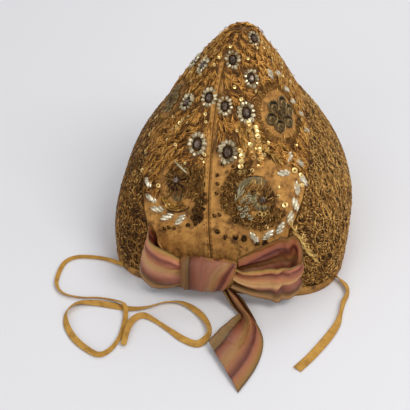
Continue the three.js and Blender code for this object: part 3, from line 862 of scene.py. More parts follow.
    @cache
    def thread(self, finish: ThreadFinish) -> Material:
        """Metal thread: its tone attribute picks the colour, its coils show as fine relief.

        Args:
            finish: colours and gloss.

        Returns:
            The material.
        """
        material, bench = self._blank(finish.name)
        noise = bench.noise(bench.add("ShaderNodeTexCoord").outputs["Object"], self.THREAD_GRAIN)
        uneven = bench.math("MULTIPLY_ADD", noise, self.THREAD_UNEVEN, -0.5 * self.THREAD_UNEVEN)
        ramp = bench.add("ShaderNodeValToRGB", {0: bench.math("ADD", bench.attribute("tone"), uneven)})
        stops = ramp.color_ramp.elements
        stops[0].color, stops[1].color = finish.dark, finish.light
        stops.new(0.5).color = finish.middle
        coil = bench.math("SINE", bench.math("MULTIPLY", bench.attribute("along"), math.tau / finish.coil))
        looks = {"Base Color": ramp.outputs[0], "Normal": bench.bump(coil, *self.COIL_BUMP)}
        bench.shade(looks | {"Metallic": finish.metallic, "Roughness": finish.roughness})
        return material

    @cache
    def cloth(self, finish: ClothFinish) -> Material:
        """Woven cloth with uneven dye and stains: work paints shade under embroidery and in folds, a second
        attribute lightens it.

        Args:
            finish: colours, weave and relief.

        Returns:
            The material.
        """
        material, bench = self._blank(finish.name)
        place = bench.add("ShaderNodeTexCoord")
        colour = finish.light
        for patches, second in ((DYE, finish.dark), (STAIN, finish.stain), (SPECK, finish.stain)):
            colour = self._mottled(bench, place.outputs["Object"], patches, colour, second).outputs["Color"]
        # Lightened towards the light yarn colour along the centre seam.
        lightened = bench.mix(bench.attribute("seam_lighter"), colour, finish.light)
        # The work attribute mixes in the ground colour as painted shade.
        painted_shaded = bench.mix(bench.attribute("work"), lightened, finish.ground)
        yarn = dict(zip(self.WEAVE_INPUTS, (place.outputs["UV"], finish.weave / UV_UNIT, finish.relief)))
        weave = bench.add("ShaderNodeGroup", yarn, node_tree=self._weave)
        looks = {"Base Color": painted_shaded, "Normal": weave.outputs["Normal"], "Roughness": finish.roughness}
        bench.shade(looks | self.CLOTH_GLOSS | {"Sheen Tint": finish.light})
        return material

    @cache
    def ribbon(
        self,
        tint: Colour = PLAIN,
        name: str = "striped_ribbon_silk",
        stops: tuple[RibbonStop, ...] = RIBBON_STRIPES,
    ) -> Material:
        """Striped silk ribbon with real wear patches and lengthwise streaks of painted crease shade: UV x runs
        along it and UV y across it.

        Args:
            tint: colour that multiplies the stripes.
            name: name of the material.
            stops: its stripes.

        Returns:
            The material.
        """
        material, bench = self._blank(name)
        place = bench.add("ShaderNodeTexCoord")
        lie, spot = place.outputs["UV"], place.outputs["Object"]
        parts = bench.add("ShaderNodeSeparateXYZ", {0: lie})
        sway = bench.noise(spot, self.SWAY_GRAIN)
        shift = bench.math("MULTIPLY_ADD", sway, self.STRIPE_SWAY, -0.5 * self.STRIPE_SWAY)
        ramp = bench.add("ShaderNodeValToRGB", {0: bench.math("ADD", parts.outputs["Y"], shift)})
        silk, stripes = ramp.outputs[0], ramp.color_ramp.elements
        for _ in stops[2:]:
            stripes.new(1.0)
        for stripe, stop in zip(stripes, stops):
            stripe.position = stop.across
            stripe.color = tinted(stop.colour, tint)
        worn = self._mottled(bench, spot, WEAR, silk, tinted(RIBBON_WEAR_AND_SHADE, tint))
        rubbed = bench.math("MULTIPLY", worn.outputs["Mask"], self.RIBBON_FADE)
        faded = bench.mix(rubbed, silk, worn.outputs["Color"])
        # Lengthwise streaks of painted shade for the ribbon's crease lines.
        drawn = bench.add("ShaderNodeVectorMath", {0: lie, 1: self.CREASE_SHADE_STRETCH}, operation="MULTIPLY")
        crease_shade_colour = tinted(RIBBON_WEAR_AND_SHADE, tint, self.CREASE_SHADE_DIM)
        shade_streak = self._mottled(bench, drawn.outputs[0], CREASE_SHADE_STREAK, faded, crease_shade_colour)
        shade_streaked = bench.mix(self.CREASE_SHADE_SHARE, faded, shade_streak.outputs["Color"])
        rate = math.tau * UV_UNIT / self.RIBBON_RIB
        rib = bench.math("SINE", bench.math("MULTIPLY", parts.outputs["X"], rate))
        bench.shade({"Base Color": shade_streaked, "Normal": bench.bump(rib, *self.RIB_BUMP)} | self.RIBBON_GLOSS)
        return material

    @cache
    def stone(self, finish: StoneFinish) -> Material:
        """Cut paste over foil: bright facets with uneven foil under them.

        Args:
            finish: colours and gloss.

        Returns:
            The material.
        """
        material, bench = self._blank(finish.name)
        place = bench.add("ShaderNodeTexCoord").outputs["Object"]
        foil = self._mottled(bench, place, FOIL, finish.light, finish.dark)
        dull = bench.math("MULTIPLY", foil.outputs["Mask"], finish.foil)
        bright = bench.mix(dull, finish.light, finish.dark)
        looks = {"Base Color": bench.mix(bench.attribute("tone"), finish.dark, bright)}
        bench.shade(looks | {"Metallic": finish.metallic, "Roughness": finish.roughness} | self.STONE_GLOSS)
        return material

    @cache
    def patched(self, finish: PatchedFinish) -> Material:
        """Plain surface with patches of a second colour.

        Args:
            finish: colours and gloss.

        Returns:
            The material.
        """
        material, bench = self._blank(finish.name)
        place = bench.add("ShaderNodeTexCoord").outputs["Object"]
        colour = self._mottled(bench, place, finish.patches, finish.first, finish.second).outputs["Color"]
        bench.shade({"Base Color": colour, "Metallic": finish.metallic, "Roughness": finish.roughness})
        return material


# Meshes


class Shape(NamedTuple):
    """Small mesh kept as arrays, to be set down many times."""

    verts: Array
    faces: list[tuple[int, ...]]


def shape_of(bm: bmesh.types.BMesh) -> Shape:
    """Reads a bmesh into arrays, in an order that is the same every run, and frees it.

    Args:
        bm: the mesh.

    Returns:
        Its corners and faces.
    """
    corners = sorted(bm.verts, key=lambda v: v.co[:])
    for index, corner in enumerate(corners):
        corner.index = index
    verts = np.array([v.co[:] for v in corners])
    faces = sorted(tuple(v.index for v in f.verts) for f in bm.faces)
    bm.free()
    return Shape(verts, faces)


def set_down(shape: Shape, seats: Seats, size: Array | float = 1.0) -> Shape:
    """Sets a small shape down on every seat and joins the copies.

    Args:
        shape: the small shape, Z outwards.
        seats: where it goes.
        size: one scale for all, or one per seat.

    Returns:
        All copies as one shape.
    """
    count = len(seats.origin)
    axes = np.stack([seats.level, seats.upward, seats.outward], axis=1)
    scale = np.broadcast_to(size, (count,))[:, None, None]
    verts = np.einsum("vk,nkc->nvc", shape.verts, axes) * scale + seats.origin[:, None, :]
    step = len(shape.verts)
    faces = [tuple(i + n * step for i in face) for n in range(count) for face in shape.faces]
    return Shape(verts.reshape(-1, 3), faces)


def join(shapes: Sequence[Shape]) -> Shape:
    """Joins shapes into one.

    Args:
        shapes: what is joined.

    Returns:
        One shape.
    """
    verts, faces, start = [], [], 0
    for shape in shapes:
        verts.append(shape.verts)
        faces.extend(tuple(i + start for i in face) for face in shape.faces)
        start += len(shape.verts)
    return Shape(np.concatenate(verts), faces)


def grid_shape(grid: Array) -> Shape:
    """Sheet of quads through a grid of points.

    Args:
        grid: points by column and row.

    Returns:
        The sheet.
    """
    columns, rows = grid.shape[:2]
    index = np.arange(columns * rows).reshape(columns, rows)
    corners = (index[:-1, :-1], index[1:, :-1], index[1:, 1:], index[:-1, 1:])
    quads = np.stack(corners, axis=-1).reshape(-1, 4)
    return Shape(grid.reshape(-1, 3), [tuple(q) for q in quads.tolist()])


def add_piece(
    name: str,
    shape: Shape,
    material: Material,
    *,
    faceted: bool = False,
    uv: Array | None = None,
    values: dict[str, Array] | None = None,
    weld: bool = False,
    closed: bool = False,
) -> Piece:
    """Makes a mesh object from a shape.

    Args:
        name: name of the piece.
        shape: corners in millimetres and faces.
        material: its material.
        faceted: flat facets instead of rounded shading.
        uv: one UV pair per corner.
        values: attribute names to one value per corner.
        weld: joins corners that lie in one place.
        closed: turns the faces of a welded, closed shape outwards.

    Returns:
        The object.
    """
    mesh = bpy.data.meshes.new(name)
    mesh.from_pydata((shape.verts * MM).tolist(), [], shape.faces)
    mesh.materials.append(material)
    if uv is not None:
        corner = np.empty(len(mesh.loops), np.int32)
        mesh.loops.foreach_get("vertex_index", corner)
        layer = mesh.uv_layers.new(name="UVMap")
        layer.data.foreach_set("uv", (uv.reshape(-1, 2) / UV_UNIT)[corner].astype(np.float32).ravel())
    for label, data in (values or {}).items():
        layer = mesh.attributes.new(label, "FLOAT", "POINT")
        layer.data.foreach_set("value", np.asarray(data, np.float32).ravel())
    if weld:
        bm = bmesh.new()
        bm.from_mesh(mesh)
        bmesh.ops.remove_doubles(bm, verts=bm.verts, dist=WELD * MM)
        if closed:
            bmesh.ops.recalc_face_normals(bm, faces=bm.faces)
        bm.to_mesh(mesh)
        bm.free()
    if not faceted:
        mesh.shade_smooth()
    piece = bpy.data.objects.new(name, mesh)
    bpy.context.scene.collection.objects.link(piece)
    return piece


def thicken(piece: Piece, thick: float, offset: float, lining: Material | None = None) -> None:
    """Gives a sheet its thickness.

    Args:
        piece: the sheet.
        thick: thickness in millimetres.
        offset: -1 to grow inwards, 0 to both sides.
        lining: material of the inner side.
    """
    solid = piece.modifiers.new("thickness", "SOLIDIFY")
    solid.thickness = thick * MM
    solid.offset = offset
    if lining is not None:
        piece.data.materials.append(lining)
        solid.material_offset = 1


def settle(piece: Piece, slot: Slot, *nodes: str) -> None:
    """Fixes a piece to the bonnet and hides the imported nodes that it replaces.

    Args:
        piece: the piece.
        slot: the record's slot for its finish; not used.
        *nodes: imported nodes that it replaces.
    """
    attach(piece, BODY)
    if nodes:
        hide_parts(*nodes)
    log.info("%s: %d faces", piece.name, len(piece.data.polygons))


class Strands(NamedTuple):
    """Threads of one kind: points and outward directions by thread, half-thicknesses and tones."""

    lines: Array
    ups: Array
    radii: Array
    tones: Array


class StrandBatch:
    """Fine threads collected into one mesh of slim three-sided tubes."""

    TURNS = (math.pi / 2, math.pi * 7 / 6, math.pi * 11 / 6)
    END = 0.78
    ROUND = 0.35

    def __init__(self) -> None:
        """Starts with no threads."""
        self._blocks: list[Strands] = []

    def add(self, lines: Array, ups: Array, radius: Array | float, tone: Array | float) -> None:
        """Adds threads that have the same number of points."""
        radii, tones = (np.broadcast_to(np.asarray(data, float), (len(lines),)) for data in (radius, tone))
        self._blocks.append(Strands(lines, ups, radii, tones))

    def _tubes(self, start: int, block: Strands) -> tuple[Array, list[list[int]], Array, Array]:
        """Tubes of one block of threads.

        Args:
            start: number of corners before them.
            block: the threads.

        Returns:
            Corners, faces, and the tone and the length along of every corner.
        """
        lines, ups, radii, tones = block
        count, points = lines.shape[:2]
        ahead = unit(np.gradient(lines, axis=1))
        side = unit(np.cross(ahead, ups))
        top = np.cross(side, ahead)
        taper = self.END + (1.0 - self.END) * np.sin(np.linspace(0.0, math.pi, points)) ** self.ROUND
        thick = (radii[:, None] * taper)[..., None]
        rings = [lines + thick * (math.cos(t) * side + math.sin(t) * top) for t in self.TURNS]
        index = start + np.arange(count * points * len(rings)).reshape(count, points, len(rings))
        following = np.roll(index, -1, axis=2)
        quads = np.stack([index[:, :-1], index[:, 1:], following[:, 1:], following[:, :-1]], axis=-1)
        caps = np.concatenate([index[:, 0], index[:, -1, ::-1]])
        steps = np.linalg.norm(np.diff(lines, axis=1), axis=-1)
        along = np.concatenate([np.zeros((count, 1)), np.cumsum(steps, axis=1)], axis=1)
        corners = np.stack(rings, axis=2).reshape(-1, 3)
        faces = quads.reshape(-1, 4).tolist() + caps.tolist()
        return corners, faces, np.repeat(tones, points * len(rings)), np.repeat(along.ravel(), len(rings))

    def build(self, name: str, material: Material, slot: Slot, *nodes: str) -> None:
        """Makes the piece of all threads.

        Args:
            name: name of the piece.
            material: thread material.
            slot: the record's slot for its finish.
            *nodes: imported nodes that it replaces.
        """
        corners, faces, tones, along, start = [], [], [], [], 0
        for block in self._blocks:
            verts, quads, tone, run = self._tubes(start, block)
            corners.append(verts)
            faces.extend(quads)
            tones.append(tone)
            along.append(run)
            start += len(verts)
        values = {"tone": np.concatenate(tones), "along": np.concatenate(along)}
        settle(add_piece(name, Shape(np.concatenate(corners), faces), material, values=values), slot, *nodes)


class Stitcher(StrandBatch):
    """Lays threads of one kind on the cap."""

    UNEVEN = {"leaf": 0.28, "ray": 0.22, "swarm": 0.2, "stray": 0.22, "arc": 0.1, "coil": 0.24, "ring": 0.12}
    LEAF_PAIRS = (5, 22)
    LEAF_POINTS = 4
    LEAF_SPREAD = math.radians(36.0)
    LEAF_BOW = 0.25
    LEAF_REACH = 0.84
    LEAF_LIFT = 0.3
    LEAF_RADII = (0.85, 1.15)
    FLARE_WAVE = (0.14, 0.8)
    FLARE_BLUNT = 0.75
    LEAST_FLARE = 0.4
    DOME_WIDTH = 1.25
    SWELL = 0.14
    SHIFT = 0.35
    SWAY = 0.12
    SWAY_LIFT = 0.25
    FRAY = (0.5, 0.4)
    RIB_GAP = 0.25
    RIB_POINTS = 7
    RIB_REACH = 1.02
    RIB_RADIUS = 0.5
    RIB_LIFT = 0.35
    RIB_TONE = 0.15
    RAY_POINTS = 5
    RAY_STRAY = 0.03
    RAY_ENDS = (0.88, 1.05)
    RAY_WAVE = (0.12, 0.82)
    RAY_LIFT = 0.5
    RAY_RISE = 2.2
    RAY_RADII = (0.4, 0.55)
    SWIRL = 0.22
    LOOSE_POINTS = 4
    LOOSE_REACH = 6.0
    SWARM_LIFTS = (0.4, 1.9)
    SWARM_ARCH = 0.4
    SWARM_RADII = (0.38, 0.52)
    STRAY = 24.0
    STRAY_BEND = 0.05
    STRAY_ARCH = 0.03
    STRAY_RADII = (0.8, 1.2)
    LEAST_LIFT = 0.1
    STREW_LIFTS = (0.8, 2.4)
    ARC_POINTS = 15
    ARC_LIFT = 1.8
    ARC_RADIUS = 0.5
    COIL_PITCH = 1.05
    COIL_RADIUS = 0.6
    COIL_START = 0.25
    COIL_POINTS = 16
    COIL_DOME = 1.15
    CHIP_STEPS = 3
    RING_POINTS = 10
    RING_RADIUS = 0.42

    def __init__(self, seed: int) -> None:
        """Starts with no threads."""
        super().__init__()
        self.seed = seed

    def _rng(self, more: int = 0) -> Rng:
        """Returns: random numbers of their own for one job."""
        return np.random.default_rng(self.seed + more)

    def _lay(
        self, seat: Seats, x: Array, y: Array, lift: Array | float, radius: Array | float, tone: Array | float
    ) -> None:
        """Lays threads round one seat."""
        lines, ups = CAP.drape(seat, x[None], y[None], lift)
        self.add(lines[0], ups[0], radius, tone)

    def leaves(
        self,
        seats: Seats,
        heading: Array,
        length: Array,
        width: Array,
        tone: Array,
        rise: Array,
        gap: float = 1.15,
        thick: float = 0.43,
        loose: float = 1.0,
    ) -> None:
        """Lays leaves: threads slanting from a midrib to both sides, over a low dome.

        Args:
            seats: feet of the leaves.
            heading: direction of each midrib, counter-clockwise from level.
            length: length of each leaf.
            width: half-width of each leaf.
            tone: brightness of each leaf.
            rise: height of each dome.
            gap: distance between threads along the midrib.
            thick: half the thickness of a thread.
            loose: how untidy the threads are.
        """
        rng = self._rng()
        count, points = len(seats.origin), self.LEAF_POINTS
        pairs = int(np.clip(np.mean(length) / gap, *self.LEAF_PAIRS))
        bend = np.radians(heading)
        turn, long, wide, high = (row[:, None, None, None] for row in (bend, length, width, rise))
        order = ((np.arange(pairs) + 0.5) / pairs)[None, :, None, None]
        hand = np.array([-1.0, 1.0])[None, None, :, None]
        run = np.linspace(0.0, 1.0, points)[None, None, None, :]
        swell, shift, sway, fray = loose * rng.normal(0.0, 1.0, (4, count, pairs, 2, 1))
        begin, wave = self.FLARE_WAVE
        flare = np.sin(math.pi * (begin + wave * order)) ** self.FLARE_BLUNT
        flare = flare * (1.0 + self.SWELL * swell).clip(self.LEAST_FLARE)
        half = wide * flare
        slant = half / math.tan(self.LEAF_SPREAD) * run * (1.0 + self.LEAF_BOW * run)
        ahead = long * self.LEAF_REACH * order + slant + self.SHIFT * shift + self.FRAY[0] * fray * run
        aside = hand * (self.RIB_GAP + half * run) + self.SWAY * sway + self.FRAY[1] * fray * run
        dome = (1.0 - (aside / (wide * self.DOME_WIDTH)) ** 2).clip(0.0) * flare
        lift = self.LEAF_LIFT + high * dome + self.SWAY_LIFT * np.abs(sway)
        x = ahead * np.cos(turn) - aside * np.sin(turn)
        y = ahead * np.sin(turn) + aside * np.cos(turn)
        lines, ups = CAP.drape(seats, x, y, lift)
        uneven = rng.normal(0.0, self.UNEVEN["leaf"] * loose, (count, pairs, 2, 1))
        radii = thick * rng.uniform(*self.LEAF_RADII, (count, pairs, 2))
        flat = (count * pairs * 2, points, 3)
        tones = tone[:, None, None, None] + uneven
        self.add(lines.reshape(flat), ups.reshape(flat), radii.ravel(), tones.ravel())
        spine = np.linspace(0.0, self.RIB_REACH, self.RIB_POINTS)[None, :] * length[:, None]
        x, y = polar((0.0, 0.0), spine, bend[:, None])
        lines, ups = CAP.drape(seats, x, y, rise[:, None] + self.RIB_LIFT)
        self.add(lines, ups, self.RIB_RADIUS, np.clip(tone + self.RIB_TONE, 0.0, 1.0))

    def rays(
        self, seat: Seats, centre: Pair, inner: float, outer: float, span: Pair, count: int, tone: float
    ) -> None:
        """Lays threads that run out from a centre.

        Args:
            seat: one seat.
            centre: level and upward place of the centre.
            inner: radius where they begin.
            outer: radius where they end.
            span: first and last direction in degrees.
            count: number of threads.
            tone: their brightness.
        """
        rng = self._rng(count)
        way = np.radians(np.linspace(*span, count))[:, None]
        way = way + rng.normal(0.0, self.RAY_STRAY, (count, 1))
        run = np.linspace(0.0, 1.0, self.RAY_POINTS)[None, :]
        reach = inner + (outer * rng.uniform(*self.RAY_ENDS, (count, 1)) - inner) * run
        begin, wave = self.RAY_WAVE
        lift = self.RAY_LIFT + self.RAY_RISE * np.sin(math.pi * (begin + wave * run))
        tones = tone + rng.normal(0.0, self.UNEVEN["ray"], count)
        x, y = polar(centre, reach, way + self.SWIRL * run)
        self._lay(seat, x, y, lift, rng.uniform(*self.RAY_RADII, count), tones)

    def swarm(
        self,
        seat: Seats,
        centre: Pair,
        band: Pair,
        span: Pair,
        count: int,
        slant: float,
        tone: float,
        lengths: Pair,
        loose: float = 0.3,
    ) -> None:
        """Lays loose threads all over a band round a centre.

        Args:
            seat: one seat.
            centre: level and upward place of the centre.
            band: inner and outer radius.
            span: first and last direction in degrees.
            count: number of threads.
            slant: turn from the band's own direction, in degrees.
            tone: their brightness.
            lengths: shortest and longest thread.
            loose: how far the threads stray from that turn, in radians.
        """
        rng = self._rng(count)
        way = np.radians(rng.uniform(*span, count))[:, None]
        reach = np.sqrt(rng.uniform(band[0] ** 2, band[1] ** 2, count))[:, None]
        long = rng.uniform(*lengths, count)[:, None]
        run = np.linspace(-0.5, 0.5, self.LOOSE_POINTS)[None, :]
        lean = math.radians(90.0 + slant) + rng.normal(0.0, loose, (count, 1))
        heading = way + lean + 0.5 * run * long / np.maximum(reach, self.LOOSE_REACH)
        x, y = polar(polar(centre, reach, way), long * run, heading)
        lift = rng.uniform(*self.SWARM_LIFTS, (count, 1)) + self.SWARM_ARCH * np.cos(math.pi * run)
        radii = rng.uniform(*self.SWARM_RADII, count)
        self._lay(seat, x, y, lift, radii, tone + rng.normal(0.0, self.UNEVEN["swarm"], count))

    def scatter(
        self,
        seats: Seats,
        heading: Array | float,
        lengths: Pair,
        tone: float,
        lifts: Pair,
        thick: float = 0.38,
    ) -> None:
        """Lays one loose thread on each seat.

        Args:
            seats: middles of the threads.
            heading: mean direction, counter-clockwise from level, one for all or one per thread.
            lengths: shortest and longest thread.
            tone: their brightness.
            lifts: lowest and highest place over the cloth.
            thick: half the mean thickness of a thread.
        """
        count = len(seats.origin)
        rng = self._rng(count)
        run = np.linspace(-0.5, 0.5, self.LOOSE_POINTS)[None, :] * rng.uniform(*lengths, count)[:, None]
        way = np.radians(heading + rng.normal(0.0, self.STRAY, count))[:, None] + self.STRAY_BEND * run
        lift = rng.uniform(*lifts, count)[:, None]
        lift = lift + self.STRAY_ARCH * run**2 * rng.normal(0.0, 0.5, (count, 1))
        lines, ups = CAP.drape(seats, *polar((0.0, 0.0), run, way), np.maximum(lift, self.LEAST_LIFT))
        radii = thick * rng.uniform(*self.STRAY_RADII, count)
        self.add(lines, ups, radii, tone + rng.normal(0.0, self.UNEVEN["stray"], count))

    def strew(
        self, seat: Seats, centre: Pair, reach: Pair, heading: float, count: int, tone: float, lengths: Pair
    ) -> None:
        """Lays loose threads all over an oval patch.

        Args:
            seat: one seat.
            centre: level and upward place of the patch's middle.
            reach: level and upward radius of the patch.
            heading: mean direction of the threads.
            count: number of threads.
            tone: their brightness.
            lengths: shortest and longest thread.
        """
        rng = self._rng(3 * count)
        way, out = rng.uniform(0.0, math.tau, count), np.sqrt(rng.uniform(0.0, 1.0, count))
        x, y = centre[0] + reach[0] * out * np.cos(way), centre[1] + reach[1] * out * np.sin(way)
        self.scatter(CAP.beside(seat, x, y), heading, lengths, tone, self.STREW_LIFTS)

    def arcs(self, seat: Seats, centre: Pair, radii: Sequence[float], span: Pair, tone: float) -> None:
        """Lays arcs round a centre.

        Args:
            seat: one seat.
            centre: level and upward place of the centre.
            radii: one radius per arc.
            span: first and last direction in degrees.
            tone: their brightness.
        """
        way = np.radians(np.linspace(*span, self.ARC_POINTS))[None, :]
        x, y = polar(centre, np.array(radii)[:, None], way)
        tones = tone + self._rng(len(radii)).normal(0.0, self.UNEVEN["arc"], len(radii))
        self._lay(seat, x, y, self.ARC_LIFT, self.ARC_RADIUS, tones)

    def coil(
        self, seat: Seats, centre: Pair, radius: float, lift: float, tone: float, bulge: float = 1.3
    ) -> None:
        """Lays one thread in a flat spiral.

        Args:
            seat: one seat.
            centre: level and upward place of its middle.
            radius: radius of the outer turn.
            lift: height over the cloth.
            tone: its brightness.
            bulge: height of its middle over its rim.
        """
        turns = radius / self.COIL_PITCH
        way = np.linspace(self.COIL_START, turns, int(self.COIL_POINTS * turns)) * math.tau
        reach = way / math.tau * self.COIL_PITCH
        dome = np.clip(1.0 - (reach / (radius * self.COIL_DOME)) ** 2, 0.0, 1.0)
        x, y = polar(centre, reach, way)
        lines, ups = CAP.drape(seat, x[None], y[None], lift + bulge * np.sqrt(dome))
        step = self.CHIP_STEPS
        chips = np.arange(0, len(way) - step, step)[:, None] + np.arange(step + 1)[None, :]
        tones = tone + self._rng(len(way)).normal(0.0, self.UNEVEN["coil"], len(chips))
        self.add(lines[0][chips], ups[0][chips], self.COIL_RADIUS, tones)

    def rings(self, seats: Seats, reach: Pair, lift: float, tone: float) -> None:
        """Lays one small oval loop on each seat.

        Args:
            seats: middles of the loops.
            reach: level and upward radius of a loop.
            lift: height over the cloth.
            tone: their brightness.
        """
        count = len(seats.origin)
        rng = self._rng(count)
        way = np.linspace(0.0, math.tau, self.RING_POINTS)[None, :] + rng.uniform(0.0, math.tau, (count, 1))
        x, y = (reach[0] * np.cos(way))[..., None], (reach[1] * np.sin(way))[..., None]
        origin, level, upward, outward = (part[:, None] for part in seats)
        lines = origin + x * level + y * upward + lift * outward
        tones = tone + rng.normal(0.0, self.UNEVEN["ring"], count)
        self.add(lines, np.broadcast_to(outward, lines.shape), self.RING_RADIUS, tones)

    def bars(self, seats: Seats, length: float, radius: float, lift: float, tone: float) -> None:
        """Lays one short straight bar on each seat, along its upward direction.

        Args:
            seats: middles of the bars.
            length: length of a bar.
            radius: half its thickness.
            lift: height over the cloth.
            tone: their brightness.
        """
        run = np.linspace(-0.5, 0.5, self.LOOSE_POINTS)[None, :, None] * length
        origin, _, upward, outward = (part[:, None] for part in seats)
        lines = origin + run * upward + lift * outward
        self.add(lines, np.broadcast_to(outward, lines.shape), radius, tone)


# Ornament tables


class Motif(NamedTuple):
    """Raised flower on the crown."""

    name: str
    angle: float
    height: float
    reach: float

    @property
    def seat(self) -> Seats:
        """Returns: the seat of its middle."""
        return CAP.seats(self.angle, self.height)


ROSETTE_RIGHT = Motif("rosette_right", 29.0, 72.5, 19.0)
ROSETTE_LEFT = Motif("rosette_left", -22.0, 72.5, 16.0)
MEDALLIONS = (
    Motif("medallion_right", 58.0, 113.0, 14.5),
    Motif("medallion_left", -78.0, 108.0, 13.0),
)
RIGHT_EYE = (0.6, -2.8)
LEFT_EYE = (-0.8, 6.6)


class PasteFlower(NamedTuple):
    """Flower of paste stones on the crown."""

    angle: float
    height: float
    reach: float
    stones: int

    @property
    def seat(self) -> Seats:
        """Returns: the seat of its middle."""
        return CAP.seats(self.angle, self.height)


FLOWER_STRETCH = 1.3
STRASS = rows_of(
    PasteFlower,
    (12.0, 98.0, 7.2, 14),
    (-12.0, 101.0, 7.0, 14),
    (9.0, 124.2, 5.7, 12),
    (-10.0, 128.2, 5.9, 12),
    (27.0, 120.0, 6.6, 13),
    (-43.0, 120.0, 5.8, 12),
    (13.0, 150.0, 5.6, 12),
    (-60.0, 139.5, 5.6, 12),
    (36.0, 138.5, 5.8, 12),
    (60.0, 160.5, 4.6, 11),
    (-98.0, 131.0, 5.6, 12),
)


class Navette(NamedTuple):
    """Pointed oval stone: turn is the tilt of its long axis from level."""

    angle: float
    height: float
    turn: float


NAVETTES = {
    "garland_left": (
        Navette(-44.0, 69.5, 142.0),
        Navette(-37.5, 62.5, 148.0),
        Navette(-31.5, 57.6, 162.0),
        Navette(-25.0, 54.0, 184.0),
        Navette(-17.0, 53.4, 206.0),
    ),
    "garland_right": (
        Navette(23.0, 45.5, 104.0),
        Navette(29.0, 47.5, 20.0),
        Navette(34.6, 52.0, 32.0),
        Navette(39.8, 57.6, 44.0),
        Navette(44.2, 64.6, 64.0),
        Navette(48.0, 72.6, 40.0),
        Navette(54.0, 74.6, 66.0),
        Navette(56.5, 84.0, 84.0),
        Navette(50.0, 89.0, 20.0),
        Navette(43.5, 83.0, 140.0),
    ),
    "spray": (
        Navette(66.0, 136.0, 60.0),
        Navette(88.0, 131.0, 110.0),
        Navette(88.0, 119.0, 110.0),
        Navette(90.0, 109.0, 112.0),
        Navette(91.0, 99.0, 116.0),
        Navette(86.0, 89.0, 112.0),
    ),
}


class Spot(NamedTuple):
    """Round ornament or place on the crown."""

    angle: float
    height: float
    radius: float


SEQUINS = rows_of(
    Spot,
    (27.0, 106.5, 1.7), (27.0, 110.0, 1.5), (32.0, 110.0, 1.5), (31.0, 106.5, 1.7),
    (29.0, 103.0, 1.6), (20.0, 99.0, 1.8), (22.0, 97.0, 1.6), (21.0, 92.5, 1.6),
    (32.0, 98.0, 1.7), (31.0, 93.6, 1.7), (30.0, 89.5, 1.7), (37.0, 99.0, 1.8),
    (34.0, 95.5, 1.7), (38.5, 101.5, 1.4), (19.0, 86.5, 1.6), (22.0, 87.5, 1.6),
    (26.0, 87.5, 1.6), (50.0, 82.0, 2.2), (53.0, 78.0, 1.7), (39.0, 66.0, 2.2),
    (48.0, 74.0, 1.5), (51.0, 73.0, 1.5), (38.0, 76.5, 1.3), (37.0, 71.5, 1.3),
    (29.0, 53.5, 1.6), (-53.0, 71.5, 1.9), (-45.0, 76.5, 1.5), (-35.0, 71.5, 1.8),
    (-26.0, 62.0, 1.6), (-30.0, 65.5, 1.4), (-37.0, 108.5, 1.6), (-35.0, 111.0, 1.6),
    (-39.0, 105.5, 1.4),
)


class SequinColumn(NamedTuple):
    """Column of overlapping sequins on the crown."""

    angle: float
    top: float
    foot: float
    count: int


SEQUIN_COLUMNS = (
    SequinColumn(27.6, 114.0, 95.0, 9),
    SequinColumn(32.0, 111.0, 89.0, 10),
    SequinColumn(20.2, 99.0, 87.0, 5),
)
KNOTS = rows_of(
    Spot,
    (5.0, 48.0, 1.7), (9.0, 44.2, 1.6), (14.0, 45.0, 1.8), (18.0, 44.2, 2.0),
    (27.0, 42.2, 2.0), (24.0, 41.2, 1.4), (-26.0, 45.2, 1.2), (-23.5, 46.6, 1.2),
    (-20.5, 46.6, 1.3), (-12.0, 50.0, 1.4), (-8.0, 51.0, 1.3), (-2.5, 71.5, 1.2),
    (5.0, 72.5, 1.2), (5.0, 84.0, 1.1), (5.5, 78.5, 1.2), (3.5, 58.0, 1.2),
    (6.5, 59.0, 1.2), (-3.5, 62.0, 1.1), (8.0, 91.0, 1.0), (15.0, 90.0, 1.0),
)
BARE = rows_of(
    Spot,
    (58.0, 113.0, 23.0), (-78.0, 108.0, 21.0), (46.0, 76.0, 14.0), (30.0, 74.0, 22.0),
    (-24.0, 76.0, 15.0),
)


class Leaf(NamedTuple):
    """Laid leaf: its foot by angle and height on the cap, or by level and upward place on a rosette."""

    across: float
    up: float
    heading: float
    length: float
    width: float
    tone: float
    rise: float


BRIGHT_LEAVES = (
    Leaf(20.0, 116.0, -72.0, 24.0, 3.8, 0.4, 1.2),
    Leaf(25.0, 113.0, -68.0, 25.0, 4.0, 0.5, 1.4),
    Leaf(31.0, 107.0, -62.0, 18.0, 3.4, 0.42, 1.2),
    Leaf(33.0, 99.0, -36.0, 22.0, 3.2, 0.3, 1.2),
)
RIGHT_LEAVES = (
    Leaf(-19.0, -3.0, 66.0, 13.0, 2.6, 0.62, 2.0),
    Leaf(-15.6, -5.0, 50.0, 12.0, 2.4, 0.5, 1.8),
    Leaf(-12.0, -5.6, 34.0, 8.0, 2.2, 0.42, 1.6),
)
LEFT_LEAVES = (
    Leaf(-5.0, 20.5, -26.0, 13.0, 0.9, 0.75, 2.0),
    Leaf(-2.0, 19.0, -30.0, 10.0, 0.8, 0.6, 1.6),
)


# Embroidery


class FernEdge(NamedTuple):
    """Edge of the fern work on one side: it goes down to the wing seam between two angles."""

    lowest: float
    near: float
    far: float
    bare: float


FERN_RIGHT = FernEdge(96.0, 38.0, 62.0, 1.6)
FERN_LEFT = FernEdge(84.0, 26.0, 46.0, 3.4)
SEAM_SHARES = ((110.0, 148.0, 157.0), (1.0, 0.8, -0.5))
FERN_FADE = (-5.0, 4.0)
SEAM_FADE = (-0.8, 0.8)
BARE_FADE = (-3.0, 1.0)
FLOWER_FADE = (-1.4, 0.4)


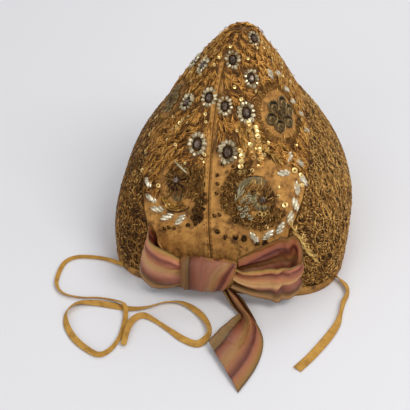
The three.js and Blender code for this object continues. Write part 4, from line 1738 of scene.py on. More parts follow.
def seam_distance(points: Array, at: Array) -> Array:
    """Level distance from the crown's centre seam.

    Args:
        points: places on the cap.
        at: their places along the sections.

    Returns:
        Distances in millimetres.
    """
    return np.linalg.norm(points - CAP.point(np.zeros_like(at), at), axis=-1)


def fern_cover(angle: Array, at: Array) -> Array:
    """How densely the fern work covers the crown.

    Args:
        angle: angles from the nape.
        at: places along the sections.

    Returns:
        Values from 0, bare silk, to 1.
    """
    height = CAP.column("height", at)
    points = CAP.point(angle, at)
    lowest, near, far, bare = (np.where(angle > 0.0, *pair) for pair in zip(FERN_RIGHT, FERN_LEFT))
    down = smooth((np.abs(angle) - near) / (far - near), 0.0, 1.0)
    low = lowest + (seam_height(angle) + 1.0 - lowest) * down
    cover = smooth(height - low, *FERN_FADE)
    bare = bare * np.interp(height, *SEAM_SHARES) + 0.8 * ripple(points, 8.0, 29)
    cover = cover * smooth(seam_distance(points, at) - bare, *SEAM_FADE)
    for spot in BARE:
        centre = CAP.point(spot.angle, CAP.place(spot.height))
        cover = cover * smooth(np.linalg.norm(points - centre, axis=-1) - spot.radius, *BARE_FADE)
    for flower in STRASS:
        seat = flower.seat
        aside, above = ((points - seat.origin[0]) @ axis[0] for axis in (seat.level, seat.upward))
        away = np.hypot(aside, above / FLOWER_STRETCH)
        cover = cover * smooth(away - flower.reach, *FLOWER_FADE)
    return cover


@dataclass(frozen=True)
class FernWork:
    """Rows of laid gold leaves that cover the upper crown on one side."""

    side: Side
    looks: Looks
    row_step: float = 5.0
    leaf_step: float = 4.7
    under_step: float = 1.55
    first_row: float = 64.0
    last_row: float = 165.5
    foot_strays: Pair = (1.1, 1.0)
    lengths: Pair = (7.6, 12.5)
    shrink: tuple[Pair, Pair] = ((100.0, 160.0), (1.0, 0.75))
    slope: float = -56.0
    side_slope: float = -26.0
    side_turn: Pair = (35.0, 80.0)
    heading_stray: float = 9.0
    checks: tuple[Pair, ...] = ((0.1, 0.2), (0.55, 0.4), (0.95, 0.12))
    row_turns: Pair = (26.0, -13.0)
    widths: Pair = (0.2, 0.27)
    rises: Pair = (0.3, 1.1)
    tone: float = 0.49
    # Painted light: the right side's threads a little brighter than the left's.
    side_light: float = 0.03
    tone_stray: float = 0.08
    top_tone: float = 0.1
    top: Pair = (135.0, 165.0)
    tones: Pair = (0.15, 0.9)
    under_slope: float = -68.0
    under_turn: float = 34.0
    under_pitch: float = 21.0
    under_covers: Pair = (0.2, 0.55)
    under_tone: float = 0.4
    under_lengths: Pair = (2.6, 4.4)
    under_lifts: Pair = (0.1, 0.6)

    def _rows(self, rng: Rng, row_step: float, leaf_step: float) -> tuple[Array, Array, Array]:
        """Feet of the leaves or threads.

        Args:
            rng: random numbers.
            row_step: distance between rows.
            leaf_step: distance along a row.

        Returns:
            Angles, heights and row numbers.
        """
        turn = np.linspace(0.0, 180.0, 361)
        angles, heights, numbers = [], [], []
        along, above = self.foot_strays
        share = np.linspace(0.0, 1.0, 400)
        run = run_length(CAP.point(np.zeros_like(share), share))
        rise = CAP.column("height", share)
        first, last = np.interp([self.first_row, self.last_row], rise, run)
        for number, height in enumerate(np.interp(np.arange(first, last, row_step), run, rise)):
            length = run_length(CAP.point(self.side.value * turn, CAP.place(height)))
            count = max(int(length[-1] / leaf_step), 3)
            spot = (np.arange(count) + 0.25 + 0.5 * (number % 2)) / count * length[-1]
            spot = spot + rng.normal(0.0, along, count)
            angles.append(self.side.value * np.interp(spot, length, turn))
            heights.append(np.minimum(height + rng.normal(0.0, above, count), self.last_row))
            numbers.append(np.full(count, number))
        return np.concatenate(angles), np.concatenate(heights), np.concatenate(numbers)

    def _heading(self, slope: Array) -> Array:
        """Returns: directions of slopes that fall towards this side."""
        return slope if self.side is Side.RIGHT else 180.0 - slope

    def _under(self, stitcher: Stitcher, rng: Rng) -> None:
        """Lays the short threads under the leaves, up to the edge of every bare place.

        Args:
            stitcher: lays the threads.
            rng: random numbers.
        """
        angle, height, _ = self._rows(rng, 2.0 * self.under_step, self.under_step)
        at = CAP.place(height)
        keep = fern_cover(angle, at) > rng.uniform(*self.under_covers, len(angle))
        keep &= CAP.column("height", at) > seam_height(angle) + 2.0
        seats = CAP.seats_at(angle[keep], at[keep])
        wave = self.under_turn * ripple(seats.origin, self.under_pitch, 31)
        heading = self._heading(self.under_slope + wave)
        stitcher.scatter(seats, heading, self.under_lengths, self.under_tone, self.under_lifts)

    def make(self) -> None:
        """Makes the piece."""
        rng = np.random.default_rng(41 + self.side.value)
        angle, height, number = self._rows(rng, self.row_step, self.leaf_step)
        length = rng.uniform(*self.lengths, len(angle)) * np.interp(height, *self.shrink)
        slope = self.slope + self.side_slope * smooth(np.abs(angle), *self.side_turn)
        slope = slope + np.where(number % 3 == 0, *self.row_turns)
        heading = self._heading(slope + rng.normal(0.0, self.heading_stray, len(angle)))
        seats = CAP.seats(angle, height)
        keep = np.ones(len(angle), bool)
        for share, least in self.checks:
            there = CAP.around(seats, *polar((0.0, 0.0), share * length, np.radians(heading)))
            keep &= fern_cover(*there) > least
            keep &= CAP.column("height", there[1]) > seam_height(there[0]) + 1.0
        seats = Seats(*(part[keep] for part in seats))
        heading, height, length = heading[keep], height[keep], length[keep]
        stitcher = Stitcher(7 + self.side.value)
        # Painted side light makes the right side brighter.
        tone = rng.normal(self.tone + self.side_light * self.side.value, self.tone_stray, len(length))
        tone = np.clip(tone + self.top_tone * smooth(height, *self.top), *self.tones)
        width = length * rng.uniform(*self.widths, len(length))
        rise = rng.uniform(*self.rises, len(length))
        stitcher.leaves(seats, heading, length, width, tone, rise, gap=1.3, thick=0.41)
        self._under(stitcher, rng)
        stitcher.build(f"fern_work_{self.side.word}", self.looks.thread(FERN_GOLD), Slot.GOLD)


class WingChart:
    """Flat map of one wing: s runs along the rim from the nape corner and h up from the hem."""

    SLOPE = 1.04
    FULL_AT = 75.0
    FRONT_PUFF = 0.4
    FRONT_TURN = (120.0, 180.0)
    PUFF_ROUND = 0.9
    SINK_SHARES = (0.55, 1.0)
    FOOT_MARGIN = 0.3
    CORNER_MARGIN = 0.6
    MARGIN = 0.2

    def __init__(self, side: Side) -> None:
        """Measures the wing.

        Args:
            side: which wing.
        """
        self.side = side
        self._turn = np.linspace(WING_START, 180.0, 300)
        angle = side.value * self._turn
        self._run = run_length(CAP.point(angle, CAP.place(seam_height(self._turn) * 0.5)))
        self._foot = CAP.place(hem_height(self._turn) + GAP)
        self._head = CAP.place(seam_height(self._turn) - 2.0 * GAP)
        slope = CAP.point(angle, self._head) - CAP.point(angle, self._foot)
        self._tall = np.linalg.norm(slope, axis=-1) * self.SLOPE

    @property
    def length(self) -> float:
        """Returns: length of the wing along the rim."""
        return float(self._run[-1])

    def tall(self, s: Array) -> Array:
        """Height of the wing along its slope."""
        return np.interp(s, self._run, self._tall)

    def inside(self, lines: Array) -> Array:
        """Tells which drawn lines keep to the wing.

        Args:
            lines: places on the map by line and point.

        Returns:
            True for each line inside.
        """
        s, h = lines[..., 0], lines[..., 1]
        kept = (h > self.FOOT_MARGIN) & (h < self.tall(s) - self.MARGIN)
        return (kept & (s > self.CORNER_MARGIN) & (s < self.length - self.MARGIN)).all(axis=-1)

    def surface(self, turn: Array, share: Array, lift: Array | float) -> tuple[Array, Array]:
        """Points over the wing, which stands out from the cap in a puff.

        Args:
            turn: angles from the nape, without sign.
            share: shares of the wing's height.
            lift: heights over its cloth.

        Returns:
            Points and outward directions.
        """
        front = 1.0 - self.FRONT_PUFF * smooth(turn, *self.FRONT_TURN)
        full = smooth(turn, WING_START, self.FULL_AT) * front
        puff = WING_PUFF * full * np.sin(math.pi * np.clip(share, 0.0, 1.0)) ** self.PUFF_ROUND
        stand = puff - WING_SINK * smooth(share, *self.SINK_SHARES) + lift
        foot, head = (np.interp(turn, self._turn, edge) for edge in (self._foot, self._head))
        at = foot + (head - foot) * share
        outward = CAP.normal(self.side.value * turn, at)
        return CAP.point(self.side.value * turn, at) + stand[..., None] * outward, outward

    def lay(self, lines: Array, lift: Array | float) -> tuple[Array, Array]:
        """Lays a flat drawing on the wing."""
        s, h = lines[..., 0], lines[..., 1]
        return self.surface(np.interp(s, self._run, self._turn), np.clip(h / self.tall(s), 0.0, 1.0), lift)


class Fields(NamedTuple):
    """Leaf-shaped fields on a wing's map: middles, leanings in radians and slimness."""

    places: Array
    lean: Array
    slim: Array

    def on_map(self, long: Array, wide: Array) -> Array:
        """Places on the map of points along and across the fields."""
        c, s = np.cos(self.lean)[:, None, None], np.sin(self.lean)[:, None, None]
        return np.stack([long * c - wide * s, long * s + wide * c], axis=-1) + self.places[:, None, None]

    def owner(self, spots: Array) -> Array:
        """Finds the field that each spot lies in, counted as in slim leaves.

        Args:
            spots: places on the map.

        Returns:
            Numbers of the fields.
        """
        away = spots[..., None, :] - self.places
        long = away[..., 0] * np.cos(self.lean) + away[..., 1] * np.sin(self.lean)
        wide = (away[..., 1] * np.cos(self.lean) - away[..., 0] * np.sin(self.lean)) / self.slim
        return np.argmin(np.hypot(long, wide), axis=-1)


@dataclass(frozen=True)
class Couching:
    """Gold cord couched all over one wing: leaf-shaped fields of close ribs inside two outlines."""

    side: Side
    looks: Looks
    field_step: float = 12.0
    row_share: float = 0.84
    place_stray: float = 2.4
    past_head: float = 6.0
    mean_lean: float = math.radians(62.0)
    lean_stray: float = 0.6
    slims: Pair = (0.5, 0.8)
    reach: Pair = (-19.0, 16.0)
    pitch: float = 1.12
    rib: float = 2.6
    slant: float = 0.62
    rib_strays: Pair = (0.16, 0.6)
    bow: Pair = (0.02, 8.0)
    lift: Point = (0.35, 0.18, 0.15)
    radius: float = 0.42
    radii: Pair = (0.85, 1.15)
    points: int = 3
    tone: float = 0.4
    # Painted light: the right wing's cord brighter than the left's.
    side_light: float = 0.11
    tone_strays: Point = (0.1, 0.4, 0.2)
    # Each outline: size, tone and painted side light.
    outlines: tuple[tuple[float, float, float], ...] = ((0.52, 0.44, 0.22), (0.42, 0.18, 0.0))
    outline_form: Pair = (0.12, 0.35)
    outline_lift: float = 0.5
    outline_radius: float = 0.75
    tones: Pair = (0.02, 1.0)

    def _fields(self, chart: WingChart, rng: Rng) -> Fields:
        """Sets out the fields in staggered rows.

        Args:
            chart: the wing's map.
            rng: random numbers.

        Returns:
            The fields.
        """
        rise = self.row_share * self.field_step
        rows = int(float(np.max(chart.tall(np.array([chart.length])))) / rise) + 2
        across = np.arange(0.0, chart.length, self.field_step)
        middles = [
            (s + (row % 2) * 0.5 * self.field_step, (row + 0.2) * rise) for row in range(rows) for s in across
        ]
        places = np.array(middles) + rng.normal(0.0, self.place_stray, (len(middles), 2))
        places = places[places[:, 1] < chart.tall(places[:, 0]) + self.past_head]
        lean = rng.normal(self.mean_lean, self.lean_stray, len(places))
        return Fields(places, lean, rng.uniform(*self.slims, len(places)))

    def _ribs(self, rng: Rng, fields: int) -> tuple[Array, Array]:
        """Ribs that slant from a field's middle line to both sides, for every field.

        Args:
            rng: random numbers.
            fields: number of fields.

        Returns:
            Long and wide places by field, rib and point.
        """
        order = np.arange(*self.reach, self.pitch)
        hand, part = np.meshgrid([-1.0, 1.0], np.arange(4.0), indexing="ij")
        run = np.linspace(0.03, 0.97, self.points)
        wide = hand.ravel()[:, None] * self.rib * (part.ravel()[:, None] + run)
        along, aside = self.rib_strays
        stray = rng.normal(0.0, along, (fields, len(order), len(wide), 1))
        bow = self.bow[0] * np.minimum(np.abs(wide), self.bow[1]) ** 2
        long = order[None, :, None, None] + self.slant * np.abs(wide)[None, None] - bow + stray
        wide = np.broadcast_to(wide[None, None], long.shape) + aside * stray
        flat = (fields, -1, self.points)
        return long.reshape(flat), wide.reshape(flat)

    def make(self) -> None:
        """Makes the piece."""
        rng = np.random.default_rng(90 + self.side.value)
        chart = WingChart(self.side)
        fields = self._fields(chart, rng)
        count = len(fields.places)
        batch = StrandBatch()
        ribs = fields.on_map(*self._ribs(rng, count))
        own = np.arange(count)[:, None]
        owner = np.stack([fields.owner(spots) for spots in ribs[:, :, self.points // 2]])
        keep = (owner == own) & chart.inside(ribs)
        lines = ribs[keep]
        mean, spread, least = self.lift
        lift = np.maximum(mean + spread * rng.normal(size=(len(lines), 1)), least)
        by_field, by_rib, by_loop = self.tone_strays
        # Painted side light: right wing brighter, left darker.
        tone = rng.normal(self.tone + self.side_light * self.side.value, by_field, count)[owner[keep]]
        tone = np.clip(tone + rng.normal(0.0, by_rib, len(lines)), *self.tones)
        batch.add(*chart.lay(lines, lift), rng.uniform(*self.radii, len(lines)) * self.radius, tone)
        way = np.linspace(0.0, math.tau, 22)
        drop, blunt = self.outline_form
        thick = self.outline_radius * self.radius
        for size, base, outline_side_light in self.outlines:
            long = size * self.field_step * np.cos(way) * (1.0 + drop * np.cos(way))
            wide = size * self.field_step * np.sin(way) * np.abs(np.sin(way)) ** blunt
            loops = fields.on_map(long[None, None], fields.slim[:, None, None] * wide[None, None])[:, 0]
            loops = loops[chart.inside(loops)]
            # Painted side light on the outlines as well.
            tone = base + outline_side_light * self.side.value + rng.normal(0.0, by_loop, len(loops))
            batch.add(*chart.lay(loops, self.outline_lift), thick, np.clip(tone, *self.tones))
        batch.build(f"wing_couching_{self.side.word}", self.looks.thread(WING_GOLD), Slot.GOLD)


# Cloth


class Bell(NamedTuple):
    """Rounded bump over a distance."""

    tall: float
    middle: float
    wide: float

    def over(self, distance: Array) -> Array:
        """Returns: its height at distances."""
        return self.tall * np.exp(-(((distance - self.middle) / self.wide) ** 2))


SEAM_RIDGE = Bell(0.75, 2.4, 1.5)
SEAM_GROOVE = Bell(0.7, 0.0, 0.8)
SEAM_SHADE = Bell(0.45, 0.0, 0.9)
LEFT_SHADE = Bell(0.4, 6.0, 3.2)
SEAM_LIGHTER = Bell(0.8, 0.0, 5.0)


@dataclass(frozen=True)
class CrownCloth:
    """One half of the crown: silk with drawn folds over the nape, padded under the fern work."""

    side: Side
    looks: Looks
    rows: int = 64
    fold_shade: float = 0.34
    left_shade_top: Pair = (34.0, 50.0)
    ridge_foot: Pair = (12.0, 26.0)
    ridge_top: Pair = (150.0, 162.0)
    lighter_foot: Pair = (50.0, 85.0)
    slack: float = 0.35
    slack_foot: Pair = (0.0, 0.12)
    slack_top: Pair = (0.9, 1.0)
    firm: float = 0.8
    measured_row: int = 12
    measured_column: int = 3

    @staticmethod
    def _angles() -> Array:
        """Angles of the columns, closer at the centre seam.

        Returns:
            Angles from 0 to 180.
        """
        seam = np.array([0.0, 0.35, 0.8, 1.3, 1.9, 2.6, 3.4])
        nape = np.arange(4.2, 29.6, 0.8)
        corner = np.array([29.5, 30.5])
        return np.concatenate([seam, nape, corner, np.arange(32.0, 100.0, 2.0), np.arange(100.0, 180.1, 4.0)])

    def make(self) -> None:
        """Makes the piece."""
        angle = np.sort(self.side.value * self._angles())[:, None]
        share = np.linspace(0.0, 1.0, self.rows + 1)[None, :]
        turn = np.abs(angle)
        at_nape = turn < WING_SEAM[0].angle
        low = CAP.place(np.where(at_nape, hem_height(turn) + GAP, seam_height(turn)))
        at = low + (1.0 - low) * share**CROWN_SPACING
        points = CAP.point(angle, at)
        height = points[..., 2]
        roll = np.where(at_nape, 0.0, EDGE_ROLL * (1.0 - smooth(share, 0.0, CROWN_EDGE)))
        wander = 0.5 * ripple(points, 26.0, 5)
        folds = np.sin((turn / GATHER_SPAN * GATHER_COUNT + wander) * math.pi) ** 2
        drawn = np.where(turn < GATHER_SPAN, 1.0 - smooth(height, NAPE_HEM, GATHER_TOP), 0.0) * folds
        away = seam_distance(points, at)
        ridge = SEAM_RIDGE.over(away) - SEAM_GROOVE.over(away)
        stand = -roll - GATHER_DEPTH * drawn
        stand = stand + ridge * smooth(height, *self.ridge_foot) * (1.0 - smooth(height, *self.ridge_top))
        cover = fern_cover(angle + 0.0 * at, at)
        # Painted shade in the gather folds and along the bare seam.
        shade = self.fold_shade * drawn + SEAM_SHADE.over(away) * (1.0 - cover)
        if self.side is Side.LEFT:
            shade = shade + LEFT_SHADE.over(away) * (1.0 - smooth(height, *self.left_shade_top))
        # Lighter silk along the centre seam, above the nape.
        seam_lighter = SEAM_LIGHTER.over(away) * smooth(height, *self.lighter_foot)
        edge = smooth(share, *self.slack_foot) * (1.0 - smooth(share, *self.slack_top))
        stand = stand + edge * self.slack * ripple(points, 11.0, 3) * (1.0 - self.firm * cover)
        shift = np.array([self.side.value * SEAM_GAP / 2.0, 0.0, 0.0])
        grid = points + stand[..., None] * CAP.normal(angle, at) + shift
        girth = run_length(points[:, self.measured_row])
        rise = run_length(points[self.measured_column])
        # work: painted shade under the fern work, in the folds and along the seam.
        piece = add_piece(
            f"crown_silk_{self.side.word}",
            grid_shape(grid),
            self.looks.cloth(CROWN_SILK),
            uv=np.stack(np.broadcast_arrays(girth[:, None], rise[None, :]), axis=-1),
            values={"work": np.clip(cover + shade, 0.0, 1.0), "seam_lighter": seam_lighter},
            weld=True,
        )
        thicken(piece, CLOTH_THICK, -1.0, self.looks.cloth(LINING_LINEN))
        settle(piece, Slot.GOLD, f"crown_{self.side.word}")


@dataclass(frozen=True)
class WingCloth:
    """Padded ground of one wing, under the couched cord."""

    side: Side
    looks: Looks
    columns: int = 110
    rows: int = 26
    slack: float = 0.1
    lie: Pair = (1.5, 70.0)
    shade: float = 0.15

    def make(self) -> None:
        """Makes the piece."""
        chart = WingChart(self.side)
        turn = np.linspace(WING_START, 180.0, self.columns)[:: self.side.value]
        turns, shares = np.meshgrid(turn, np.linspace(0.0, 1.0, self.rows), indexing="ij")
        flat, _ = chart.surface(turns, shares, 0.0)
        uneven = np.sin(math.pi * shares) * (self.slack * ripple(flat, 9.0, 17) - self.slack)
        grid, _ = chart.surface(turns, shares, uneven)
        shift = np.array([self.side.value * SEAM_GAP / 2.0, 0.0, 0.0])
        # work: even painted shade over the wing's ground, under the cord.
        piece = add_piece(
            f"wing_ground_{self.side.word}",
            grid_shape(grid + shift),
            self.looks.cloth(WING_GROUND),
            uv=np.stack([turns, shares], axis=-1) * self.lie,
            values={"work": np.full(turns.shape, self.shade)},
        )
        thicken(piece, CLOTH_THICK, -1.0, self.looks.cloth(LINING_LINEN))
        settle(piece, Slot.GOLD, f"wing_{self.side.word}")


class RollPoint(NamedTuple):
    """Point of the hem's outline: depth inwards in hem thicknesses, share of its height."""

    depth: float
    share: float


CASING_ROLL = rows_of(
    RollPoint,
    (-0.35, 0.0), (-0.47, 0.2), (-0.5, 0.45), (-0.46, 0.75),
    (-0.3, 0.98), (0.1, 1.0), (0.5, 0.98), (0.5, 0.5),
    (0.5, 0.0),
)


@dataclass(frozen=True)
class Casing:
    """Gathered silk casing round the rim, with the drawstring in it."""

    looks: Looks
    columns: int = 420
    gathers: tuple[tuple[float, float, int], ...] = ((0.22, 7.0, 23), (0.16, 3.1, 29))
    inner_depth: float = 0.4

    def make(self) -> None:
        """Makes the piece."""
        angle = np.linspace(-180.0, 180.0, self.columns, endpoint=False)
        foot = CAP.point(angle, np.zeros(self.columns))
        outward = unit(CAP.normal(angle, np.zeros(self.columns)) * (1.0, 1.0, 0.0))
        run = run_length(foot)
        gather = sum(high * ripple(foot, pitch, seed) for high, pitch, seed in self.gathers)
        tall = hem_height(angle)
        grid, uv = [], []
        for k, roll in enumerate(CASING_ROLL):
            depth = np.full(self.columns, -roll.depth * CASING_THICK)
            if roll.depth < self.inner_depth:
                depth = depth + gather * (0.25 + 0.75 * math.sin(math.pi * roll.share))
            ring = foot + depth[:, None] * outward
            ring[:, 2] = roll.share * tall
            grid.append(ring)
            uv.append(np.stack([run, np.full(self.columns, 2.0 * k)], axis=-1))
        rows = len(CASING_ROLL)
        index = np.arange(rows * self.columns).reshape(rows, self.columns)
        faces = []
        for k in range(rows):
            a, b = index[k], index[(k + 1) % rows]
            faces.extend(zip(a.tolist(), np.roll(a, -1).tolist(), np.roll(b, -1).tolist(), b.tolist()))
        shape = Shape(np.concatenate(grid), faces)
        piece = add_piece("rim_casing_silk", shape, self.looks.cloth(CASING_SILK), uv=np.concatenate(uv))
        settle(piece, Slot.SILK, "rim_casing")


@dataclass(frozen=True)
class SeamStitches:
    """Small stitches along both sides of the crown's centre seam."""

    looks: Looks
    step: float = 3.2
    first: float = 18.0
    last: float = 156.0
    aside: float = 1.5

    def make(self) -> None:
        """Makes the piece."""
        height = np.arange(self.first, self.last, self.step)
        seats = CAP.seats(np.zeros_like(height), height)
        stitcher = Stitcher(3)
        for hand in (-1.0, 1.0):
            x = np.full(len(height), hand * self.aside)
            places = CAP.around(seats, x, np.zeros_like(x))
            stitcher.bars(CAP.seats_at(*places), length=1.7, radius=0.24, lift=0.75, tone=0.3)
        stitcher.build("seam_stitches", self.looks.thread(DARK_PURL), Slot.GOLD)


# Ornaments


class Cut(NamedTuple):
    """Cut of a stone: its sizes, its sides and 1 for an oval or more for pointed ends."""

    length: float
    width: float
    rise: float
    sides: int
    pointed: float


PETAL_CUT = Cut(4.2, 3.3, 1.9, 6, 1.08)
HEART_CUT = Cut(5.8, 7.6, 2.4, 8, 1.0)
NAVETTE_CUT = Cut(8.8, 3.4, 1.6, 8, 1.3)
EYE_CUT = Cut(5.6, 5.6, 2.8, 10, 1.0)
FACET_ROWS = ((0.28, 1.0), (0.45, 0.78), (0.27, 0.68))


def flat_ring(inner: float, sides: int, cup: float) -> Shape:
    """Cupped round disc of radius 1 with a hole, as a sequin.

    Args:
        inner: the hole's radius.
        sides: number of sides.
        cup: how deep the hole lies.

    Returns:
        The shape, Z upwards.
    """
    bm = bmesh.new()
    made = bmesh.ops.create_circle(bm, cap_ends=True, segments=sides, radius=1.0)
    rim = set(made["verts"])
    bmesh.ops.inset_region(
        bm, faces=bm.faces[:], use_boundary=True, use_even_offset=True, thickness=1.0 - inner, depth=0.0
    )
    hole = [v for v in bm.verts if v not in rim]
    bmesh.ops.translate(bm, verts=hole, vec=(0.0, 0.0, -cup))
    floor = [f for f in bm.faces if all(v in hole for v in f.verts)]
    bmesh.ops.delete(bm, geom=floor, context="FACES_ONLY")
    return shape_of(bm)


def cut_stone(cut: Cut) -> Shape:
    """Cut stone: girdle, two rows of sloping facets and a table.

    Args:
        cut: its sizes.

    Returns:
        The shape, standing on Z = 0.
    """
    bm = bmesh.new()
    made = bmesh.ops.create_circle(bm, cap_ends=True, segments=cut.sides, radius=0.5)
    for vert in made["verts"]:
        vert.co.y = math.copysign((abs(vert.co.y) * 2.0) ** cut.pointed / 2.0, vert.co.y)
    bmesh.ops.scale(bm, verts=bm.verts, vec=(cut.length, cut.width, 1.0))
    top = bm.faces[:]
    for lift, shrink in FACET_ROWS:
        made = bmesh.ops.extrude_face_region(bm, geom=top)
        verts = [g for g in made["geom"] if isinstance(g, bmesh.types.BMVert)]
        bmesh.ops.delete(bm, geom=[f for f in top if f.is_valid], context="FACES_ONLY")
        top = [g for g in made["geom"] if isinstance(g, bmesh.types.BMFace)]
        bmesh.ops.translate(bm, verts=verts, vec=(0.0, 0.0, lift * cut.rise))
        bmesh.ops.scale(bm, verts=verts, vec=(shrink, shrink, 1.0))
    bmesh.ops.recalc_face_normals(bm, faces=bm.faces)
    return shape_of(bm)


def sparkle(name: str, shapes: Sequence[Shape], template: Shape, material: Material, least: float) -> Piece:
    """Makes a piece of many stones, each with its own brightness.

    Args:
        name: name of the piece.
        shapes: all stones.
        template: one stone.
        material: stone material.
        least: brightness of the dullest stone.

    Returns:
        The object.
    """
    shape = join(shapes)
    count = len(shape.verts) // len(template.verts)
    tone = np.repeat(np.random.default_rng(count).uniform(least, 1.0, count), len(template.verts))
    return add_piece(name, shape, material, faceted=True, values={"tone": tone})


@dataclass(frozen=True)
class Stones:
    """Paste flowers and pointed oval stones on the crown."""

    looks: Looks
    ring_share: float = 0.79
    full_reach: float = 7.2
    side_angle: float = 85.0
    stand: float = 0.3
    side_stand: float = 0.7
    settings: tuple[tuple[Pair, float, float], ...] = (((3.5, 4.6), 1.0, 0.1), ((3.8, 4.9), 0.7, 0.2))
    partners: tuple[Pair, ...] = ((1.0, 0.85), (-1.0, 0.7))
    partner_shift: Point = (2.0, 1.9, -0.5)
    partner_turn: float = 5.0

    def _flowers(self) -> None:
        """Makes the paste flowers: petals, a dark ring and a centre stone each."""
        petals, hearts = [], []
        stitcher = Stitcher(61)
        petal, heart = cut_stone(PETAL_CUT), cut_stone(HEART_CUT)
        rng = np.random.default_rng(62)
        for number, flower in enumerate(STRASS):
            seat = flower.seat
            way = (np.arange(flower.stones) + 0.3 * number) / flower.stones * 360.0
            way = way + rng.normal(0.0, 3.0, flower.stones)
            ring = self.ring_share * flower.reach * rng.uniform(0.93, 1.06, flower.stones)
            x, y = ring * np.cos(np.radians(way)), FLOWER_STRETCH * ring * np.sin(np.radians(way))
            stand = self.stand if abs(flower.angle) < self.side_angle else self.side_stand
            seats = CAP.beside(seat, x, y).turned(way).raised(2.0 * stand).tilted(stand, number)
            size = flower.reach / self.full_reach
            petals.append(set_down(petal, seats, size * rng.uniform(0.85, 1.25, flower.stones)))
            hearts.append(set_down(heart, seat.raised(0.7), size))
            for (wide, tall), lift, tone in self.settings:
                stitcher.rings(seat, (wide * size, tall * size), lift, tone)
        nodes = [f"strass_{n + 1:02d}" for n in range(len(STRASS))]
        paste, dark = self.looks.stone(CLEAR_PASTE), self.looks.stone(VIOLET_PASTE)
        settle(sparkle("strass_petals", petals, petal, paste, least=0.3), Slot.STONE, *nodes)
        settle(sparkle("strass_hearts", hearts, heart, dark, least=0.5), Slot.STONE)
        stitcher.build("strass_settings", self.looks.thread(DARK_PURL), Slot.STONE)

    def _navettes(self) -> None:
        """Makes the pointed oval stones of the garlands and the spray, each with a partner on both sides."""
        shapes, nodes = [], []
        template = cut_stone(NAVETTE_CUT)
        level, upward, outward = self.partner_shift
        for place, rows in NAVETTES.items():
            angle, height, turn = np.array(rows).T
            seats = CAP.seats(angle, height).turned(turn).raised(0.4).tilted(0.14, len(rows))
            shapes.append(set_down(template, seats))
            for hand, size in self.partners:
                shift = hand * (upward * seats.upward + level * seats.level) + outward * seats.outward
                beside = seats._replace(origin=seats.origin + shift).turned(self.partner_turn * hand)
                shapes.append(set_down(template, beside, size))
            nodes += [f"{place}_{n + 1:02d}" for n in range(len(rows))]
        pearl = self.looks.stone(PEARL_PASTE)
        settle(sparkle("navette_stones", shapes, template, pearl, least=0.5), Slot.STONE, *nodes)

    def make(self) -> None:
        """Makes all stones."""
        self._flowers()
        self._navettes()


@dataclass(frozen=True)
class SmallWork:
    """Sequins and dark knots sewn on the silk, and bright leaves between them."""

    looks: Looks
    extra: int = 320
    extra_share: float = 0.5
    least_cover: float = 0.6
    scale_lean: float = 0.5
    knot_share: float = 1.25
    single: tuple[float, int, float] = (0.4, 12, 0.16)
    scale: tuple[float, int, float] = (0.3, 12, 0.2)
    small: tuple[float, int, float] = (0.4, 10, 0.16)

    def _sequins(self) -> None:
        """Makes single sequins, columns that overlap like scales, and small ones in the fern work."""
        rng = np.random.default_rng(12)
        angle, height, radius = np.array(SEQUINS).T
        seats = CAP.seats(angle, height).raised(1.6).tilted(0.4, 12)
        rows = [set_down(flat_ring(*self.single), seats, radius)]
        for column in SEQUIN_COLUMNS:
            height = np.linspace(column.top, column.foot, column.count)
            scales = CAP.seats(column.angle + rng.normal(0.0, 0.5, column.count), height).raised(2.9)
            scales = scales._replace(outward=unit(scales.outward + self.scale_lean * scales.upward))
            scales = scales._replace(upward=np.cross(scales.outward, scales.level)).tilted(0.22, column.count)
            rows.append(set_down(flat_ring(*self.scale), scales, rng.uniform(1.8, 2.2, column.count)))
        angle = rng.uniform(-150.0, 150.0, self.extra)
        at = CAP.place(rng.uniform(70.0, 160.0, self.extra))
        chosen = fern_cover(angle, at) > self.least_cover
        chosen &= rng.uniform(size=self.extra) < self.extra_share
        seats = CAP.seats_at(angle[chosen], at[chosen]).raised(2.2).tilted(0.5, 13)
        rows.append(set_down(flat_ring(*self.small), seats, rng.uniform(1.0, 1.5, len(seats.origin))))
        settle(add_piece("sequins", join(rows), self.looks.patched(GILT_SEQUIN)), Slot.GOLD)

    def make(self) -> None:
        """Makes the pieces."""
        self._sequins()
        knots = Stitcher(77)
        for knot in KNOTS:
            seat = CAP.seats(knot.angle, knot.height)
            knots.coil(seat, (0.0, 0.0), self.knot_share * knot.radius, lift=0.2, tone=0.1)
        knots.build("silk_knots", self.looks.thread(DARK_PURL), Slot.GOLD)
        bright = Stitcher(15)
        angle, height, *form = np.array(BRIGHT_LEAVES).T
        bright.leaves(CAP.seats(angle, height), *form, gap=1.0, thick=0.34, loose=1.2)
        fringe = CAP.seats(np.linspace(39.0, 44.5, 30), np.linspace(53.0, 28.0, 30)).raised(2.6)
        bright.scatter(fringe, -52.0, lengths=(9.0, 13.0), tone=0.9, lifts=(1.2, 2.8), thick=0.55)
        bright.build("bright_leaves", self.looks.thread(BRIGHT_GOLD), Slot.GOLD)


